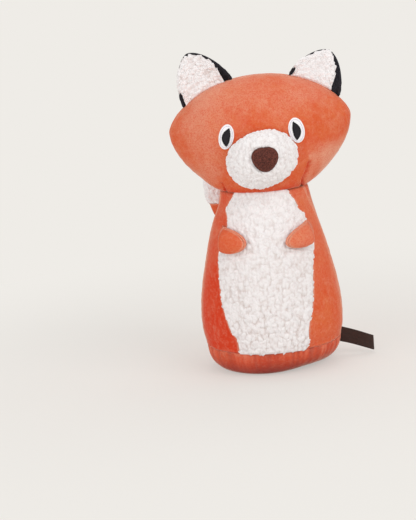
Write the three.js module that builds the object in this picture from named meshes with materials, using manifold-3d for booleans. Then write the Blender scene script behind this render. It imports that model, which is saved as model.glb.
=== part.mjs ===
// A stuffed plush fox that stands on its round base: sewn fabric panels over loose filling, a head on a
// short soft neck, two folded ears, two small paws, a curved tail and a squeaker behind the belly panel.
// Millimetres, +Z up, origin in the middle of the flat underside. The fox looks along -Y, so its own left
// side is +X and its own right side is -X.
import * as THREE from 'three';
import { mergeVertices } from 'three/addons/utils/BufferGeometryUtils.js';
import Module from 'manifold-3d';

const wasm = await Module();
wasm.setup();

// Fabrics and clearances
const cover = 1.6; // thickness of the short-pile plush
const fleecePile = 2.4; // how far the curly fleece stands above the plush beside it
const gap = 0.3; // clearance at every seam and seat
const looseness = 0.8; // how far a filling keeps from its cover, whose facets are flat
const overrun = 12; // how far a cutting shape runs past what it cuts
const threadRise = 0.9; // how far embroidery stands above its ground

// Body
const bodyWidth = 117.8; // across the widest ring
const bodyDepth = 106; // front to back at the same ring
const shoulderHeight = 146; // floor to the top of the body, which is also the middle of the neck
const baseSeamHeight = 21; // floor to the seam round the base panel
const restShare = 0.72; // flat underside, as a share of the base seam's ring
const neckRadius = 36.2; // the round neck that the head sits on
const shoulderStep = 1.8; // the shoulder stands this far outside the neck
const collarHeight = 5; // how far the body's panels run up inside the head

// Head
const headWidth = 148.8; // cheek to cheek
const headDepth = 98; // forehead to the back of the head
const jawHeight = 53.3; // lower rim to the widest part of the cheeks
const crownHeight = 39.2; // widest part of the cheeks to the top of the head
const rimLift = 4.2; // the head's lower rim above the middle of the neck
const rimClearance = 0.6; // between the head's lower rim and the neck
const eyeWidth = 13;
const eyeHeight = 20.6;
const pupilWidth = 6.2;
const pupilHeight = 14.6;
const muzzleWidth = 52.8;
const muzzleHeight = 44.4;
const muzzleDome = 17; // how far the muzzle bulges from the face, without its fleece
const noseWidth = 21;
const noseHeight = 18.6;

// Ears
const earHeight = { left: 30.4, right: 33.6 };
const earFleece = 3; // fleece on the front of an ear
const earMargin = 1.6; // the dark back panel shows this far round the fleece
const earCurl = 4.5; // how far the side edges curl forward
const earSlant = { left: 2, right: 4 }; // degrees towards the middle of the head
const earLean = { left: 20, right: 3 }; // degrees backwards
const earFoldForward = 30; // degrees of travel
const earFoldBack = 20;

// Paws
const pawLength = 27; // from its seam to its tip
const pawRootLength = 20; // along the seam
const pawPadding = 8.5; // thickness of its filling
const pawDroop = 13.5; // degrees below level
const pawLift = 60; // degrees of travel away from the belly

// Tail
const tailLength = 146; // root to tip, straight up
const tailWidth = 33;
const tailThickness = 22;
const tailRootHeight = 36; // floor to the middle of its root
const tailStandOff = 20; // how far the middle of the tail stands behind the back
const tailSweep = 32; // how far the tip lies to the fox's right
const tailWag = 18; // degrees of travel each way

// Woven label in the left side seam
const labelLength = 27;
const labelWidth = 12.5;
const labelThickness = 0.7; // of each of its two layers
const labelDroop = 20; // degrees below level
const labelDrop = 3; // its middle lies this far below the base seam
const labelFlap = 60; // degrees of travel each way

// Squeaker
const squeakerRadius = 21;
const squeakerThickness = 18;
const squeakerWall = 1.2;
const squeakerHeight = 78; // floor to its middle
const squeakerSink = 4; // how far it lies behind the belly panel
const reedRadius = 3.2;
const reedWall = 0.9;
const reedLength = 7;
const reedFlange = 1.6;
const reedFlangeThickness = 0.9;

// Travel of the neck, in degrees each way
const neckTurn = 20;
const neckNod = 6;

// How full the body is from the base seam (0) up to the shoulder (1): 1 is its widest ring.
const bodyFullnessShares = [
  [0, 0.86], [0.09, 0.965], [0.2, 1], [0.32, 0.94], [0.44, 0.82], [0.56, 0.66],
  [0.68, 0.49], [0.8, 0.29], [0.92, 0.085], [1, 0],
];
// Half width of the belly panel over the same heights, as a share of the body's half width.
const bellyWidthShares = [
  [0, 0.5], [0.12, 0.51], [0.2, 0.58], [0.32, 0.65], [0.47, 0.72], [0.66, 0.8],
  [0.83, 0.775], [0.93, 0.73], [1, 0.6],
];
// Where the side seams lie: degrees round from the front, against height.
const sideSeamDegrees = [[0, 98], [0.6, 96], [0.85, 86], [1, 76]];

const degrees = Math.PI / 180;
const rightAngle = Math.PI / 2;
const fullTurn = Math.PI * 2;
const mix = (from, to, share) => from + (to - from) * share;
const steps = (count) => Array.from({ length: count + 1 }, (_, i) => i / count);

// A smooth curve through rows of [place, value].
function smooth(rows, place) {
  const last = rows.length - 1;
  const at = THREE.MathUtils.clamp(place, rows[0][0], rows[last][0]);
  let i = 0;
  while (i < last - 1 && at > rows[i + 1][0]) i += 1;
  const slope = (k) => {
    const [x0, y0] = rows[Math.max(k - 1, 0)];
    const [x1, y1] = rows[Math.min(k + 1, last)];
    return (y1 - y0) / (x1 - x0);
  };
  const run = rows[i + 1][0] - rows[i][0];
  const s = (at - rows[i][0]) / run;
  const start = rows[i][1] * (2 * s ** 3 - 3 * s ** 2 + 1) + slope(i) * run * (s ** 3 - 2 * s ** 2 + s);
  const end = rows[i + 1][1] * (3 * s ** 2 - 2 * s ** 3) + slope(i + 1) * run * (s ** 3 - s ** 2);
  return start + end;
}

// Solids from grids of points

// Closes a list of triangles into one geometry whose faces point outwards.
function closedGeometry(triangles) {
  const positions = triangles.flatMap((corners) => corners.flatMap((p) => p.toArray()));
  const loose = new THREE.BufferGeometry();
  loose.setAttribute('position', new THREE.Float32BufferAttribute(positions, 3));
  const merged = mergeVertices(loose, 1e-3);
  const index = Array.from(merged.index.array);
  const kept = [];
  const at = (k) => new THREE.Vector3().fromBufferAttribute(merged.attributes.position, k);
  let volume = 0;
  for (let i = 0; i < index.length; i += 3) {
    const [a, b, c] = index.slice(i, i + 3);
    if (a === b || b === c || c === a) continue;
    kept.push([a, b, c]);
    volume += at(a).dot(at(b).cross(at(c)));
  }
  merged.setIndex(kept.flatMap(([a, b, c]) => (volume < 0 ? [a, c, b] : [a, b, c])));
  return merged;
}

// The triangles between neighbouring rows of points. Rows that meet in a point are allowed.
function skin(rows, wraps) {
  const triangles = [];
  const columns = rows[0].length;
  for (let i = 0; i < rows.length - 1; i += 1) {
    for (let j = 0; j < (wraps ? columns : columns - 1); j += 1) {
      const k = (j + 1) % columns;
      triangles.push([rows[i][j], rows[i][k], rows[i + 1][k]]);
      triangles.push([rows[i][j], rows[i + 1][k], rows[i + 1][j]]);
    }
  }
  return triangles;
}

// A sheet with an outer and an inner face: the inner rows go back the way the outer ones came.
function sheet(outer, inner, wraps = false) {
  const loop = [...outer, ...[...inner].reverse(), outer[0]];
  const triangles = skin(loop, wraps);
  if (!wraps) {
    const edges = [0, outer[0].length - 1];
    edges.forEach((j, side) => {
      const strip = skin([outer.map((row) => row[j]), inner.map((row) => row[j])], false);
      triangles.push(...strip.map(([a, b, c]) => (side ? [a, c, b] : [a, b, c])));
    });
  }
  return closedGeometry(triangles);
}

// A filled shape through closed rings, flat or pointed at both ends.
function loft(rings) {
  const total = (ring) => ring.reduce((sum, p) => sum.add(p), new THREE.Vector3());
  const middle = (ring) => total(ring).divideScalar(ring.length);
  const cap = (ring) => ring.map(() => middle(ring));
  return closedGeometry(skin([cap(rings[0]), ...rings, cap(rings.at(-1))], true));
}

// Booleans

function toManifold(geometry) {
  const bare = geometry.clone();
  bare.deleteAttribute('normal');
  bare.deleteAttribute('uv');
  const merged = mergeVertices(bare, 1e-3);
  return new wasm.Manifold(new wasm.Mesh({
    numProp: 3,
    vertProperties: new Float32Array(merged.attributes.position.array),
    triVerts: new Uint32Array(merged.index.array),
  }));
}

function cut(geometry, ...tools) {
  const solid = tools.reduce((left, tool) => left.subtract(toManifold(tool)), toManifold(geometry));
  const mesh = solid.getMesh();
  const made = new THREE.BufferGeometry();
  made.setAttribute('position', new THREE.BufferAttribute(new Float32Array(mesh.vertProperties), 3));
  made.setIndex(Array.from(mesh.triVerts));
  return made;
}

// The same geometry turned about a hinge.
function turned(geometry, hinge, angle) {
  const turn = new THREE.Matrix4().makeRotationAxis(hinge.axis, angle * degrees);
  const { x, y, z } = hinge.at;
  return geometry.clone().translate(-x, -y, -z).applyMatrix4(turn).translate(x, y, z);
}

// Body

const shoulderRadius = neckRadius + shoulderStep;
const bodyShares = [0, 0.07, 0.16, 0.27, 0.39, 0.52, 0.65, 0.78, 0.9, 1];
const bodyColumns = { belly: 8, side: 5, back: 16 };
const baseColumns = 32;

const heightOf = (share) => mix(baseSeamHeight, shoulderHeight, share);
const shareOf = (height) => (height - baseSeamHeight) / (shoulderHeight - baseSeamHeight);

// Half width and half depth of the body at a height share.
function bodyRing(share) {
  const fullness = smooth(bodyFullnessShares, share);
  return {
    across: mix(shoulderRadius, bodyWidth / 2, fullness),
    along: mix(shoulderRadius, bodyDepth / 2, fullness),
  };
}

// A point on the body, so many degrees round from the front, moved outwards by rise.
function bodyPoint(angle, share, rise = 0) {
  const { across, along } = bodyRing(share);
  return new THREE.Vector3(
    (across + rise) * Math.sin(angle), -(along + rise) * Math.cos(angle), heightOf(share));
}

// A point on the collar, the part of the body's panels that runs up round the neck.
function collarPoint(angle, lift, rise = 0) {
  const radius = Math.sqrt(neckRadius ** 2 - lift ** 2) + rise;
  return new THREE.Vector3(radius * Math.sin(angle), -radius * Math.cos(angle), shoulderHeight + lift);
}

const bellyAngle = (share) => Math.asin(smooth(bellyWidthShares, share));
const sideAngle = (share) => smooth(sideSeamDegrees, share) * degrees;

// A fabric panel of the body between two seams, with its part of the collar.
function bodyPanel(from, to, columns, pile) {
  const face = (rise) => {
    const row = (share, point) => {
      const inset = gap / 2 / bodyRing(share).across;
      return steps(columns).map((j) => point(mix(from(share) + inset, to(share) - inset, j)));
    };
    const wall = bodyShares.map((share, i) => row(share, (angle) => {
      const p = bodyPoint(angle, share, rise);
      if (i === 0) p.z += gap / 2;
      return p;
    }));
    wall.at(-1).forEach((p) => { p.z -= gap; });
    const collarRise = Math.min(rise, 0);
    const collar = [0, collarHeight].map((lift) => row(1, (angle) => collarPoint(angle, lift, collarRise)));
    return [...wall, ...collar];
  };
  return sheet(face(pile), face(-cover));
}

const bellyPanel = () => bodyPanel((s) => -bellyAngle(s), bellyAngle, bodyColumns.belly, fleecePile);
const backPanel = () => bodyPanel(sideAngle, (s) => fullTurn - sideAngle(s), bodyColumns.back, 0);
const sidePanel = (side) => (side > 0
  ? bodyPanel(bellyAngle, sideAngle, bodyColumns.side, 0)
  : bodyPanel((s) => -sideAngle(s), (s) => -bellyAngle(s), bodyColumns.side, 0));

// Rings of the base from the middle of the underside out and up to the seam, inset by some depth.
function baseRings(inset, top) {
  const { across, along } = bodyRing(0);
  const ring = (share, height) => steps(baseColumns).slice(0, -1).map((j) => new THREE.Vector3(
    (across - inset) * share * Math.sin(j * fullTurn),
    -(along - inset) * share * Math.cos(j * fullTurn),
    height));
  const bend = steps(5).map((s) => s * rightAngle);
  const corner = bend.map((a) => ring(mix(restShare, 1, Math.sin(a)), mix(top, inset, Math.cos(a))));
  return [ring(0, inset), ...corner];
}

function basePanel() {
  const seam = baseSeamHeight - gap / 2;
  return sheet(baseRings(0, seam), baseRings(cover, seam), true);
}

function bodyStuffing() {
  const inset = cover + looseness;
  const top = shareOf(shoulderHeight - neckRadius / 3);
  const levels = bodyShares.filter((share) => share > 0 && share < top - 0.04);
  const walls = [...levels, top].map((share) => steps(baseColumns).slice(0, -1)
    .map((j) => bodyPoint(j * fullTurn, share, -inset)));
  const filling = loft([...baseRings(inset, baseSeamHeight).slice(1), ...walls]);
  return cut(filling, neckBall(looseness), squeakerPocket());
}

// The firm ball of filling in the neck that lets the head turn and nod.
function neckBall(rise = 0) {
  const radius = neckRadius - cover - gap + rise;
  return new THREE.SphereGeometry(radius, 22, 12).rotateX(rightAngle).translate(0, 0, shoulderHeight);
}

// Squeaker: a hollow bladder with a reed in its back wall

const squeakerMiddle = () => {
  const { along } = bodyRing(shareOf(squeakerHeight));
  return new THREE.Vector3(0, -(along - cover - squeakerSink - squeakerThickness / 2), squeakerHeight);
};

// Turns a lathe profile of [radius, distance behind the squeaker's middle] into place.
function squeakerLathe(profile, segments) {
  const points = profile.map(([radius, back]) => new THREE.Vector2(radius, back));
  const { x, y, z } = squeakerMiddle();
  return new THREE.LatheGeometry([...points, points[0]], segments).translate(x, y, z);
}

function squeakerBladder() {
  const hole = reedRadius + gap;
  const arc = (radius, half, startShare, endShare) => steps(7).map((s) => {
    const angle = mix(startShare, endShare, s) * Math.PI;
    return [Math.max(radius * Math.sin(angle), 0), -half * Math.cos(angle)];
  });
  const mouth = (radius) => 1 - Math.asin(hole / radius) / Math.PI;
  const outer = arc(squeakerRadius, squeakerThickness / 2, 0, mouth(squeakerRadius));
  const innerRadius = squeakerRadius - squeakerWall;
  const inner = arc(innerRadius, squeakerThickness / 2 - squeakerWall, mouth(innerRadius), 0);
  return squeakerLathe([...outer, ...inner], 20);
}

function squeakerReed() {
  const hole = reedRadius - reedWall;
  const back = squeakerThickness / 2 + gap;
  const flange = reedRadius + reedFlange;
  return squeakerLathe([
    [hole, back - reedLength], [reedRadius, back - reedLength], [reedRadius, back], [flange, back],
    [flange, back + reedFlangeThickness], [hole, back + reedFlangeThickness],
  ], 16);
}

// The hollow in the filling that the squeaker lies in, open towards the belly panel.
function squeakerPocket() {
  const radius = squeakerRadius + gap;
  const half = squeakerThickness / 2 + gap;
  const well = reedRadius + reedFlange + gap;
  const floor = half + reedFlangeThickness + gap;
  const dish = steps(6).map((s) => s * rightAngle).map((a) => [radius * Math.cos(a), half * Math.sin(a)])
    .filter(([r]) => r > well);
  const mouth = -squeakerThickness - overrun;
  const opening = [[0, mouth], [radius, mouth]];
  return squeakerLathe([...opening, ...dish, [well, half - gap], [well, floor], [0, floor]], 24);
}

// Head

const rimRadius = neckRadius + rimClearance;
const rimHeight = shoulderHeight + rimLift;
const cheekHeight = rimHeight + jawHeight;
const jawRoundness = 0.885; // power of the sine that fills the cheeks out from the neck
const chinRoundness = 0.6;
const crownRoundness = 1.48; // power of the height in the crown's outline
const cheekPinch = 0.36; // how far the rings at the cheeks are drawn from an ellipse to a lens
const headLevels = [
  -1, -0.93, -0.82, -0.68, -0.52, -0.34, -0.17, 0, 0.14, 0.28, 0.42, 0.56, 0.7, 0.84, 0.94, 1,
];
const headColumns = 16;

// Half width, half depth, height and roundness of the head's ring at a level: -1 rim, 0 cheeks, 1 crown.
function headRing(level) {
  const power = 2 - cheekPinch * (1 - level ** 2);
  if (level <= 0) {
    const filled = Math.sin((1 + level) * rightAngle);
    return {
      across: mix(rimRadius, headWidth / 2, filled ** jawRoundness),
      along: mix(rimRadius, headDepth / 2, filled ** chinRoundness),
      height: mix(cheekHeight, rimHeight, -level),
      power,
    };
  }
  const angle = level * rightAngle;
  return {
    across: (headWidth / 2) * Math.cos(angle),
    along: (headDepth / 2) * Math.cos(angle),
    height: cheekHeight + crownHeight * Math.sin(angle) ** (2 / crownRoundness),
    power,
  };
}

// A point on the head, an angle round from the front.
function headPoint(angle, level) {
  const { across, along, height, power } = headRing(level);
  const curve = (value) => Math.sign(value) * Math.abs(value) ** (2 / power);
  return new THREE.Vector3(across * curve(Math.sin(angle)), -along * curve(Math.cos(angle)), height);
}

// The same point moved outwards along the surface's normal.
function headOffset(angle, level, rise) {
  if (level >= 1) return headPoint(angle, 1).add(new THREE.Vector3(0, 0, rise));
  const nudge = 1e-3;
  const below = Math.max(level - nudge, -1);
  const round = headPoint(angle + nudge, level).sub(headPoint(angle - nudge, level));
  const up = headPoint(angle, level + nudge).sub(headPoint(angle, below));
  return headPoint(angle, level).addScaledVector(round.cross(up).normalize(), rise);
}

// Height on the head as a level.
function headLevel(height) {
  if (height <= cheekHeight) return (height - cheekHeight) / jawHeight;
  const share = Math.min((height - cheekHeight) / crownHeight, 1);
  return Math.asin(share ** (crownRoundness / 2)) / rightAngle;
}

// The face as a relief: how far in front of the middle plane it lies.
function faceDepth(x, z) {
  const { across, along, power } = headRing(headLevel(z));
  return along * Math.max(1 - Math.abs(x / across) ** power, 0) ** (1 / power);
}

// One half of the head's cover, in front of the seam from ear to ear or behind it.
function headPanel(facing) {
  const start = facing > 0 ? -rightAngle : rightAngle;
  const aside = new THREE.Vector3(0, -facing * gap / 2, 0);
  const face = (rise) => headLevels.map((level) => steps(headColumns)
    .map((j) => headOffset(start + j * Math.PI, level, rise).add(aside)));
  return sheet(face(0), face(-cover));
}

// The whole head as one solid, moved outwards or inwards.
function headSolid(rise, levels) {
  return loft(levels.map((level) => steps(headColumns * 2).slice(0, -1)
    .map((j) => headOffset(j * fullTurn, level, rise))));
}

function headStuffing() {
  const levels = headLevels.filter((level) => level > -0.9);
  return cut(headSolid(-cover - looseness, levels), neckBall(looseness));
}

// A patch on a ground that is given as a depth in front of the middle plane. The outline gives the
// distance from the centre to the edge for each angle, tilt turns it by some degrees, and rise is how
// high the patch stands at each share of that distance.
function facePatch({ centre, outline, tilt = 0, ground, rise, hollow = () => 0, shares, columns = 20 }) {
  const face = (height) => shares.map((share) => steps(columns).slice(0, -1).map((j) => {
    const reach = outline(j * fullTurn) * share;
    const angle = j * fullTurn + tilt * degrees;
    const x = centre.x + reach * Math.cos(angle);
    const z = centre.z + reach * Math.sin(angle);
    return new THREE.Vector3(x, -(ground(x, z) + gap + height(share)), z);
  }));
  return sheet(face(rise), face(hollow), true);
}

// Distance from the middle of an ellipse to its edge.
const ellipse = (width, height) => (angle) => (
  1 / Math.hypot(Math.cos(angle) / (width / 2), Math.sin(angle) / (height / 2)));

// The same for an almond with a point above and below.
const almond = (width, height) => (angle) => (
  1 / (Math.abs(Math.cos(angle)) / (width / 2) + Math.sin(angle) ** 2 / (height / 2)));

// Muzzle and nose

const faceHeight = jawHeight + crownHeight;
const muzzleLiftShare = 0.316; // of the face's height, up to the muzzle's middle
const muzzleRimShare = 0.55; // fleece at the muzzle's rim against that at its middle
const muzzleFillShare = 0.94; // the muzzle's filling against its cover, across
const muzzleCentre = { x: 0, z: rimHeight + muzzleLiftShare * faceHeight };
const muzzleOutline = ellipse(muzzleWidth, muzzleHeight);
const muzzleWall = cover + fleecePile;
const domeShares = [0, 0.25, 0.48, 0.68, 0.83, 0.93, 0.98, 1];
const domeRise = (share) => muzzleDome * Math.sqrt(Math.max(1 - share ** 2, 0));

const muzzleCover = () => facePatch({
  centre: muzzleCentre, outline: muzzleOutline, ground: faceDepth, shares: domeShares, columns: 24,
  rise: (share) => muzzleWall * mix(1, muzzleRimShare, share ** 4) + domeRise(share),
  hollow: domeRise,
});

const muzzleFilling = () => facePatch({
  centre: muzzleCentre, outline: muzzleOutline, ground: faceDepth, columns: 20,
  shares: domeShares.map((share) => share * muzzleFillShare),
  rise: (share) => domeRise(share) - gap * 2,
});

// The muzzle's front as a depth in front of the middle plane.
function muzzleDepth(x, z) {
  const dx = x - muzzleCentre.x;
  const dz = z - muzzleCentre.z;
  const share = Math.hypot(dx, dz) / muzzleOutline(Math.atan2(dz, dx));
  return faceDepth(x, z) + gap + muzzleWall + domeRise(share);
}

// A rounded triangle that points down.
const noseBlunt = 0.09;
const noseLiftShare = 0.063; // of the muzzle's height, above its middle
const nosePatch = () => facePatch({
  centre: { x: 0, z: muzzleCentre.z + noseLiftShare * muzzleHeight },
  outline: (angle) => (
    ellipse(noseWidth, noseHeight)(angle) * (1 + noseBlunt * Math.cos(3 * (angle + rightAngle)))),
  ground: muzzleDepth,
  shares: [0, 0.45, 0.8, 1],
  rise: (share) => threadRise * (2 - share ** 4),
  columns: 24,
});

// Eyes, each a white oval with a dark almond on it

const eyeSpreadShare = 0.188; // of the head's width, from the middle to each eye
const eyeLiftShare = 0.535; // of the face's height
const eyeTilt = 11; // degrees that the tops lean towards each other
const eyeCentre = (side) => ({
  x: side * eyeSpreadShare * headWidth,
  z: rimHeight + eyeLiftShare * faceHeight,
});

const eyeWhite = (side) => facePatch({
  centre: eyeCentre(side),
  outline: ellipse(eyeWidth, eyeHeight),
  tilt: side * eyeTilt,
  ground: faceDepth,
  shares: [0, 0.6, 1],
  rise: () => threadRise,
});

const eyePupil = (side) => facePatch({
  centre: eyeCentre(side),
  outline: almond(pupilWidth, pupilHeight),
  tilt: side * eyeTilt,
  ground: (x, z) => faceDepth(x, z) + gap + threadRise,
  shares: [0, 0.6, 1],
  rise: () => threadRise,
});

// Ears

// Where the ends of an ear's root lie: degrees up the crown's outline.
const earRoot = { left: { inner: 68, outer: 27.3 }, right: { inner: 75.5, outer: 35.8 } };
const earPower = 1.6; // roundness of its outline
const earFluff = 0.5; // power that fills its fleece out towards the edges
const sideName = (side) => (side > 0 ? 'left' : 'right');
const earShares = [0, 0.2, 0.42, 0.64, 0.84, 1];
const earColumns = 10;

// The seam over the head that the ears are sewn into.
const crownPoint = (side, angle) => headPoint(side * rightAngle, angle / 90);

// The straight line through the ends of an ear's root, which it folds about.
function earHinge(side) {
  const root = earRoot[sideName(side)];
  const inner = crownPoint(side, root.inner);
  const outer = crownPoint(side, root.outer);
  const ends = side > 0 ? [inner, outer] : [outer, inner];
  return { at: inner.clone().lerp(outer, 0.5), axis: ends[1].sub(ends[0]).normalize() };
}

// One panel of an ear, between two distances in front of the ear's middle sheet.
function earPanel(side, lower, upper, margin) {
  const name = sideName(side);
  const { inner, outer } = earRoot[name];
  const hinge = earHinge(side);
  const outwards = new THREE.Vector3(0, -1, 0).cross(hinge.axis).normalize();
  const slant = new THREE.Matrix4().makeRotationY(-side * earSlant[name] * degrees);
  const lean = new THREE.Matrix4().makeRotationAxis(hinge.axis, -earLean[name] * degrees);
  const upwards = outwards.applyMatrix4(slant).applyMatrix4(lean);
  const forwards = new THREE.Vector3(0, -1, 0).applyMatrix4(lean);
  const face = (depth) => earShares.map((v) => steps(earColumns).map((u) => {
    const across = 2 * u - 1;
    const root = crownPoint(side, mix(inner, outer, u));
    const arch = Math.max(1 - Math.abs(across) ** earPower, 0) ** (1 / earPower ** 1.2);
    const height = (earHeight[name] + margin) * arch;
    const spread = hinge.axis.clone().multiplyScalar(side * across * margin);
    const curl = earCurl * across ** 2 * v;
    return root.add(spread).addScaledVector(upwards, mix(-cover * 2, height, v))
      .addScaledVector(forwards, depth(u, v) + curl);
  }));
  const blank = sheet(face(upper), face(lower));
  const head = headSolid(gap, headLevels);
  const travel = [0, earFoldForward, -earFoldBack].map((angle) => turned(head, hinge, -angle));
  return cut(blank, ...travel);
}

const earFront = (side) => earPanel(side, () => gap, (u, v) => {
  const middle = Math.sin(u * Math.PI) ** earFluff;
  return gap + cover + (earFleece - cover) * middle * (1 - v ** 4);
}, 0);
const earBack = (side) => earPanel(side, () => -gap - cover, () => -gap, earMargin);

// Paws

const pawTop = 123.5; // floor to the upper end of its seam
const pawShares = [0, 0.22, 0.45, 0.66, 0.84, 0.95, 1];
const pawColumns = 10;
const pawPower = 2.6; // roundness of its outline
const pawRootShare = 0.35; // its fullness along its seam
const pawRise = fleecePile + looseness; // its underside over the body

// A place on a paw: u runs up its root, v out to its edge, and rise away from the body.
function pawPoint(side, u, v, rise, shrink = 0) {
  const across = 2 * u - 1;
  const reach = (pawLength - shrink) * Math.sqrt(Math.max(1 - Math.abs(across) ** pawPower, 0)) * v;
  const rootShare = shareOf(pawTop - shrink - (pawRootLength - 2 * shrink) * (1 - u));
  const share = shareOf(heightOf(rootShare) - reach * Math.tan(pawDroop * degrees));
  const angle = bellyAngle(rootShare) - (reach + shrink) / bodyRing(rootShare).across;
  return bodyPoint(side * angle, share, rise);
}

// How full a paw is: flat at its seam and its edge.
function pawFullness(u, v) {
  const edge = Math.sqrt(Math.max(1 - v ** 4, 0));
  const root = mix(pawRootShare, 1, Math.sin(Math.min(v * 2, 1) * rightAngle));
  return edge * root * Math.sqrt(Math.max(1 - Math.abs(2 * u - 1) ** pawPower, 0));
}

function pawSheet(side, lower, upper, shrink = 0) {
  const face = (rise) => pawShares.map((v) => steps(pawColumns).map((u) => (
    pawPoint(side, u, v, pawRise + rise(u, v), shrink))));
  return sheet(face(upper), face(lower));
}

const pawBack = (side) => pawSheet(side, () => 0, () => cover);
const pawFront = (side) => pawSheet(side,
  (u, v) => cover + 2 * gap + pawPadding * pawFullness(u, v),
  (u, v) => 2 * cover + 2 * gap + pawPadding * pawFullness(u, v));
const pawStuffing = (side) => pawSheet(side,
  () => cover + looseness,
  (u, v) => cover + looseness + (pawPadding - 2 * looseness) * pawFullness(u, v), cover);

// The line that a paw swings about, along its seam.
function pawHinge(side) {
  const low = pawPoint(side, 0, 0, 0);
  const high = pawPoint(side, 1, 0, 0);
  return { at: low.clone().lerp(high, 0.5), axis: high.clone().sub(low).normalize() };
}

// Tail

const tailColumns = 16;
const tailTipShare = 0.615; // where the pale tip begins, along the tail
// How wide the tail is from its root (0) to its tip (1).
const tailFullnessShares = [
  [0, 0.5], [0.15, 0.68], [0.35, 0.86], [0.6, 1], [0.8, 0.86], [0.93, 0.5], [1, 0],
];
// How far the tail has swung to the side, and how far it stands off the back.
const tailSweepShares = [[0, 0], [0.2, 0.1], [0.4, 0.42], [0.56, 0.74], [0.7, 0.95], [0.85, 1], [1, 0.9]];
const tailStandShares = [[0, -0.5], [0.1, 0.2], [0.25, 0.8], [0.5, 1.1], [0.75, 0.9], [1, 0.4]];

// Where the middle of the tail lies.
function tailMiddle(share) {
  const back = bodyRing(shareOf(tailRootHeight)).along;
  return new THREE.Vector3(
    -tailSweep * smooth(tailSweepShares, share),
    back + tailStandOff * smooth(tailStandShares, share),
    tailRootHeight + tailLength * share);
}

// A ring round the tail, drawn in by some depth.
function tailRing(share, inset) {
  const nudge = 0.01;
  const behind = tailMiddle(Math.max(share - nudge, 0));
  const ahead = tailMiddle(Math.min(share + nudge, 1)).sub(behind).normalize();
  const along = new THREE.Vector3(0, 1, 0).projectOnPlane(ahead).normalize();
  const across = new THREE.Vector3().crossVectors(ahead, along);
  const fullness = smooth(tailFullnessShares, share);
  return steps(tailColumns).slice(0, -1).map((j) => tailMiddle(share)
    .addScaledVector(across, Math.max(tailWidth / 2 * fullness - inset, 0) * Math.cos(j * fullTurn))
    .addScaledVector(along, Math.max(tailThickness / 2 * fullness - inset, 0) * Math.sin(j * fullTurn)));
}

const tailShares = [0, 0.08, 0.17, 0.28, 0.4, 0.52];
const tipShares = [0.7, 0.8, 0.88, 0.94];
const tailSeamShare = gap / 2 / tailLength;
const tailSeam = { below: tailTipShare - tailSeamShare, above: tailTipShare + tailSeamShare };

// The line that the tail wags about, through its root.
const tailHinge = () => ({
  at: tailMiddle(0).setY(bodyRing(shareOf(tailRootHeight)).along),
  axis: new THREE.Vector3(0, 1, 0),
});

// The body as one solid, moved outwards, for cutting the root of the tail.
function bodySolid(rise) {
  const rings = bodyShares.map((share) => steps(baseColumns).slice(0, -1)
    .map((j) => bodyPoint(j * fullTurn, share, rise)));
  return loft(rings);
}

// Cuts the root of the tail clear of the body at rest and at both ends of its travel.
function cutAtRoot(geometry) {
  const hinge = tailHinge();
  return cut(geometry, ...[0, tailWag, -tailWag].map((angle) => turned(bodySolid(gap), hinge, angle)));
}

function tailCover() {
  const rings = (inset) => [...tailShares, tailSeam.below].map((share) => tailRing(share, inset));
  return cutAtRoot(sheet(rings(0), rings(cover), true));
}

function tailTip() {
  const rings = (inset) => {
    const end = 1 - inset / tailLength;
    const levels = [tailSeam.above, ...tipShares].map((share) => tailRing(share, inset));
    const point = tailRing(1, 0).map(() => tailMiddle(end));
    return [...levels, point];
  };
  return sheet(rings(0), rings(cover), true);
}

function tailStuffing() {
  const inset = cover + looseness;
  const levels = [...tailShares, tailTipShare, ...tipShares].map((share) => tailRing(share, inset));
  return cutAtRoot(loft(levels));
}

// Label: a ribbon folded back on itself, sewn in by both its ends

// The line that the label flaps about, where the side seam meets the base seam.
function labelHinge() {
  const top = shareOf(baseSeamHeight - labelDrop + labelWidth / 2);
  const at = bodyPoint(sideAngle(top), top, looseness);
  at.z = baseSeamHeight - labelDrop;
  return { at, axis: new THREE.Vector3(0, 0, 1) };
}

function wovenLabel() {
  const half = labelThickness + gap / 2;
  const fold = labelLength - half;
  const bend = (radius) => steps(6).map((s) => [
    fold + radius * Math.sin(s * Math.PI), radius * Math.cos(s * Math.PI)]);
  const outside = [[0, half], ...bend(half), [0, -half]];
  const outline = [...outside, [0, -gap / 2], ...bend(gap / 2).reverse(), [0, gap / 2]];
  const shape = new THREE.Shape(outline.map(([x, y]) => new THREE.Vector2(x, y)));
  const { at } = labelHinge();
  const droop = new THREE.Matrix4().makeShear(0, -Math.tan(labelDroop * degrees), 0, 0, 0, 0);
  return new THREE.ExtrudeGeometry(shape, { depth: labelWidth, bevelEnabled: false })
    .translate(0, 0, -labelWidth / 2)
    .applyMatrix4(droop)
    .translate(at.x, at.y, at.z);
}

// Materials

const cloth = (color, roughness) => new THREE.MeshStandardMaterial({ color, roughness, metalness: 0 });
const materials = {
  orangePlush: cloth('#dd6f49', 0.85),
  whiteFleece: cloth('#f2ebe7', 0.95),
  blackPlush: cloth('#2b2a2f', 0.9),
  brownThread: cloth('#5a3028', 0.7),
  whiteThread: cloth('#f4f1f4', 0.6),
  blackThread: cloth('#26242a', 0.6),
  filling: cloth('#f6f5f1', 1),
  plastic: cloth('#e9e6df', 0.45),
  ribbon: cloth('#3f2a24', 0.75),
};

// Assembly

const sides = { right: -1, left: 1 };

function piece(name, geometry, material) {
  const mesh = new THREE.Mesh(geometry, material);
  mesh.name = name;
  return mesh;
}

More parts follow.
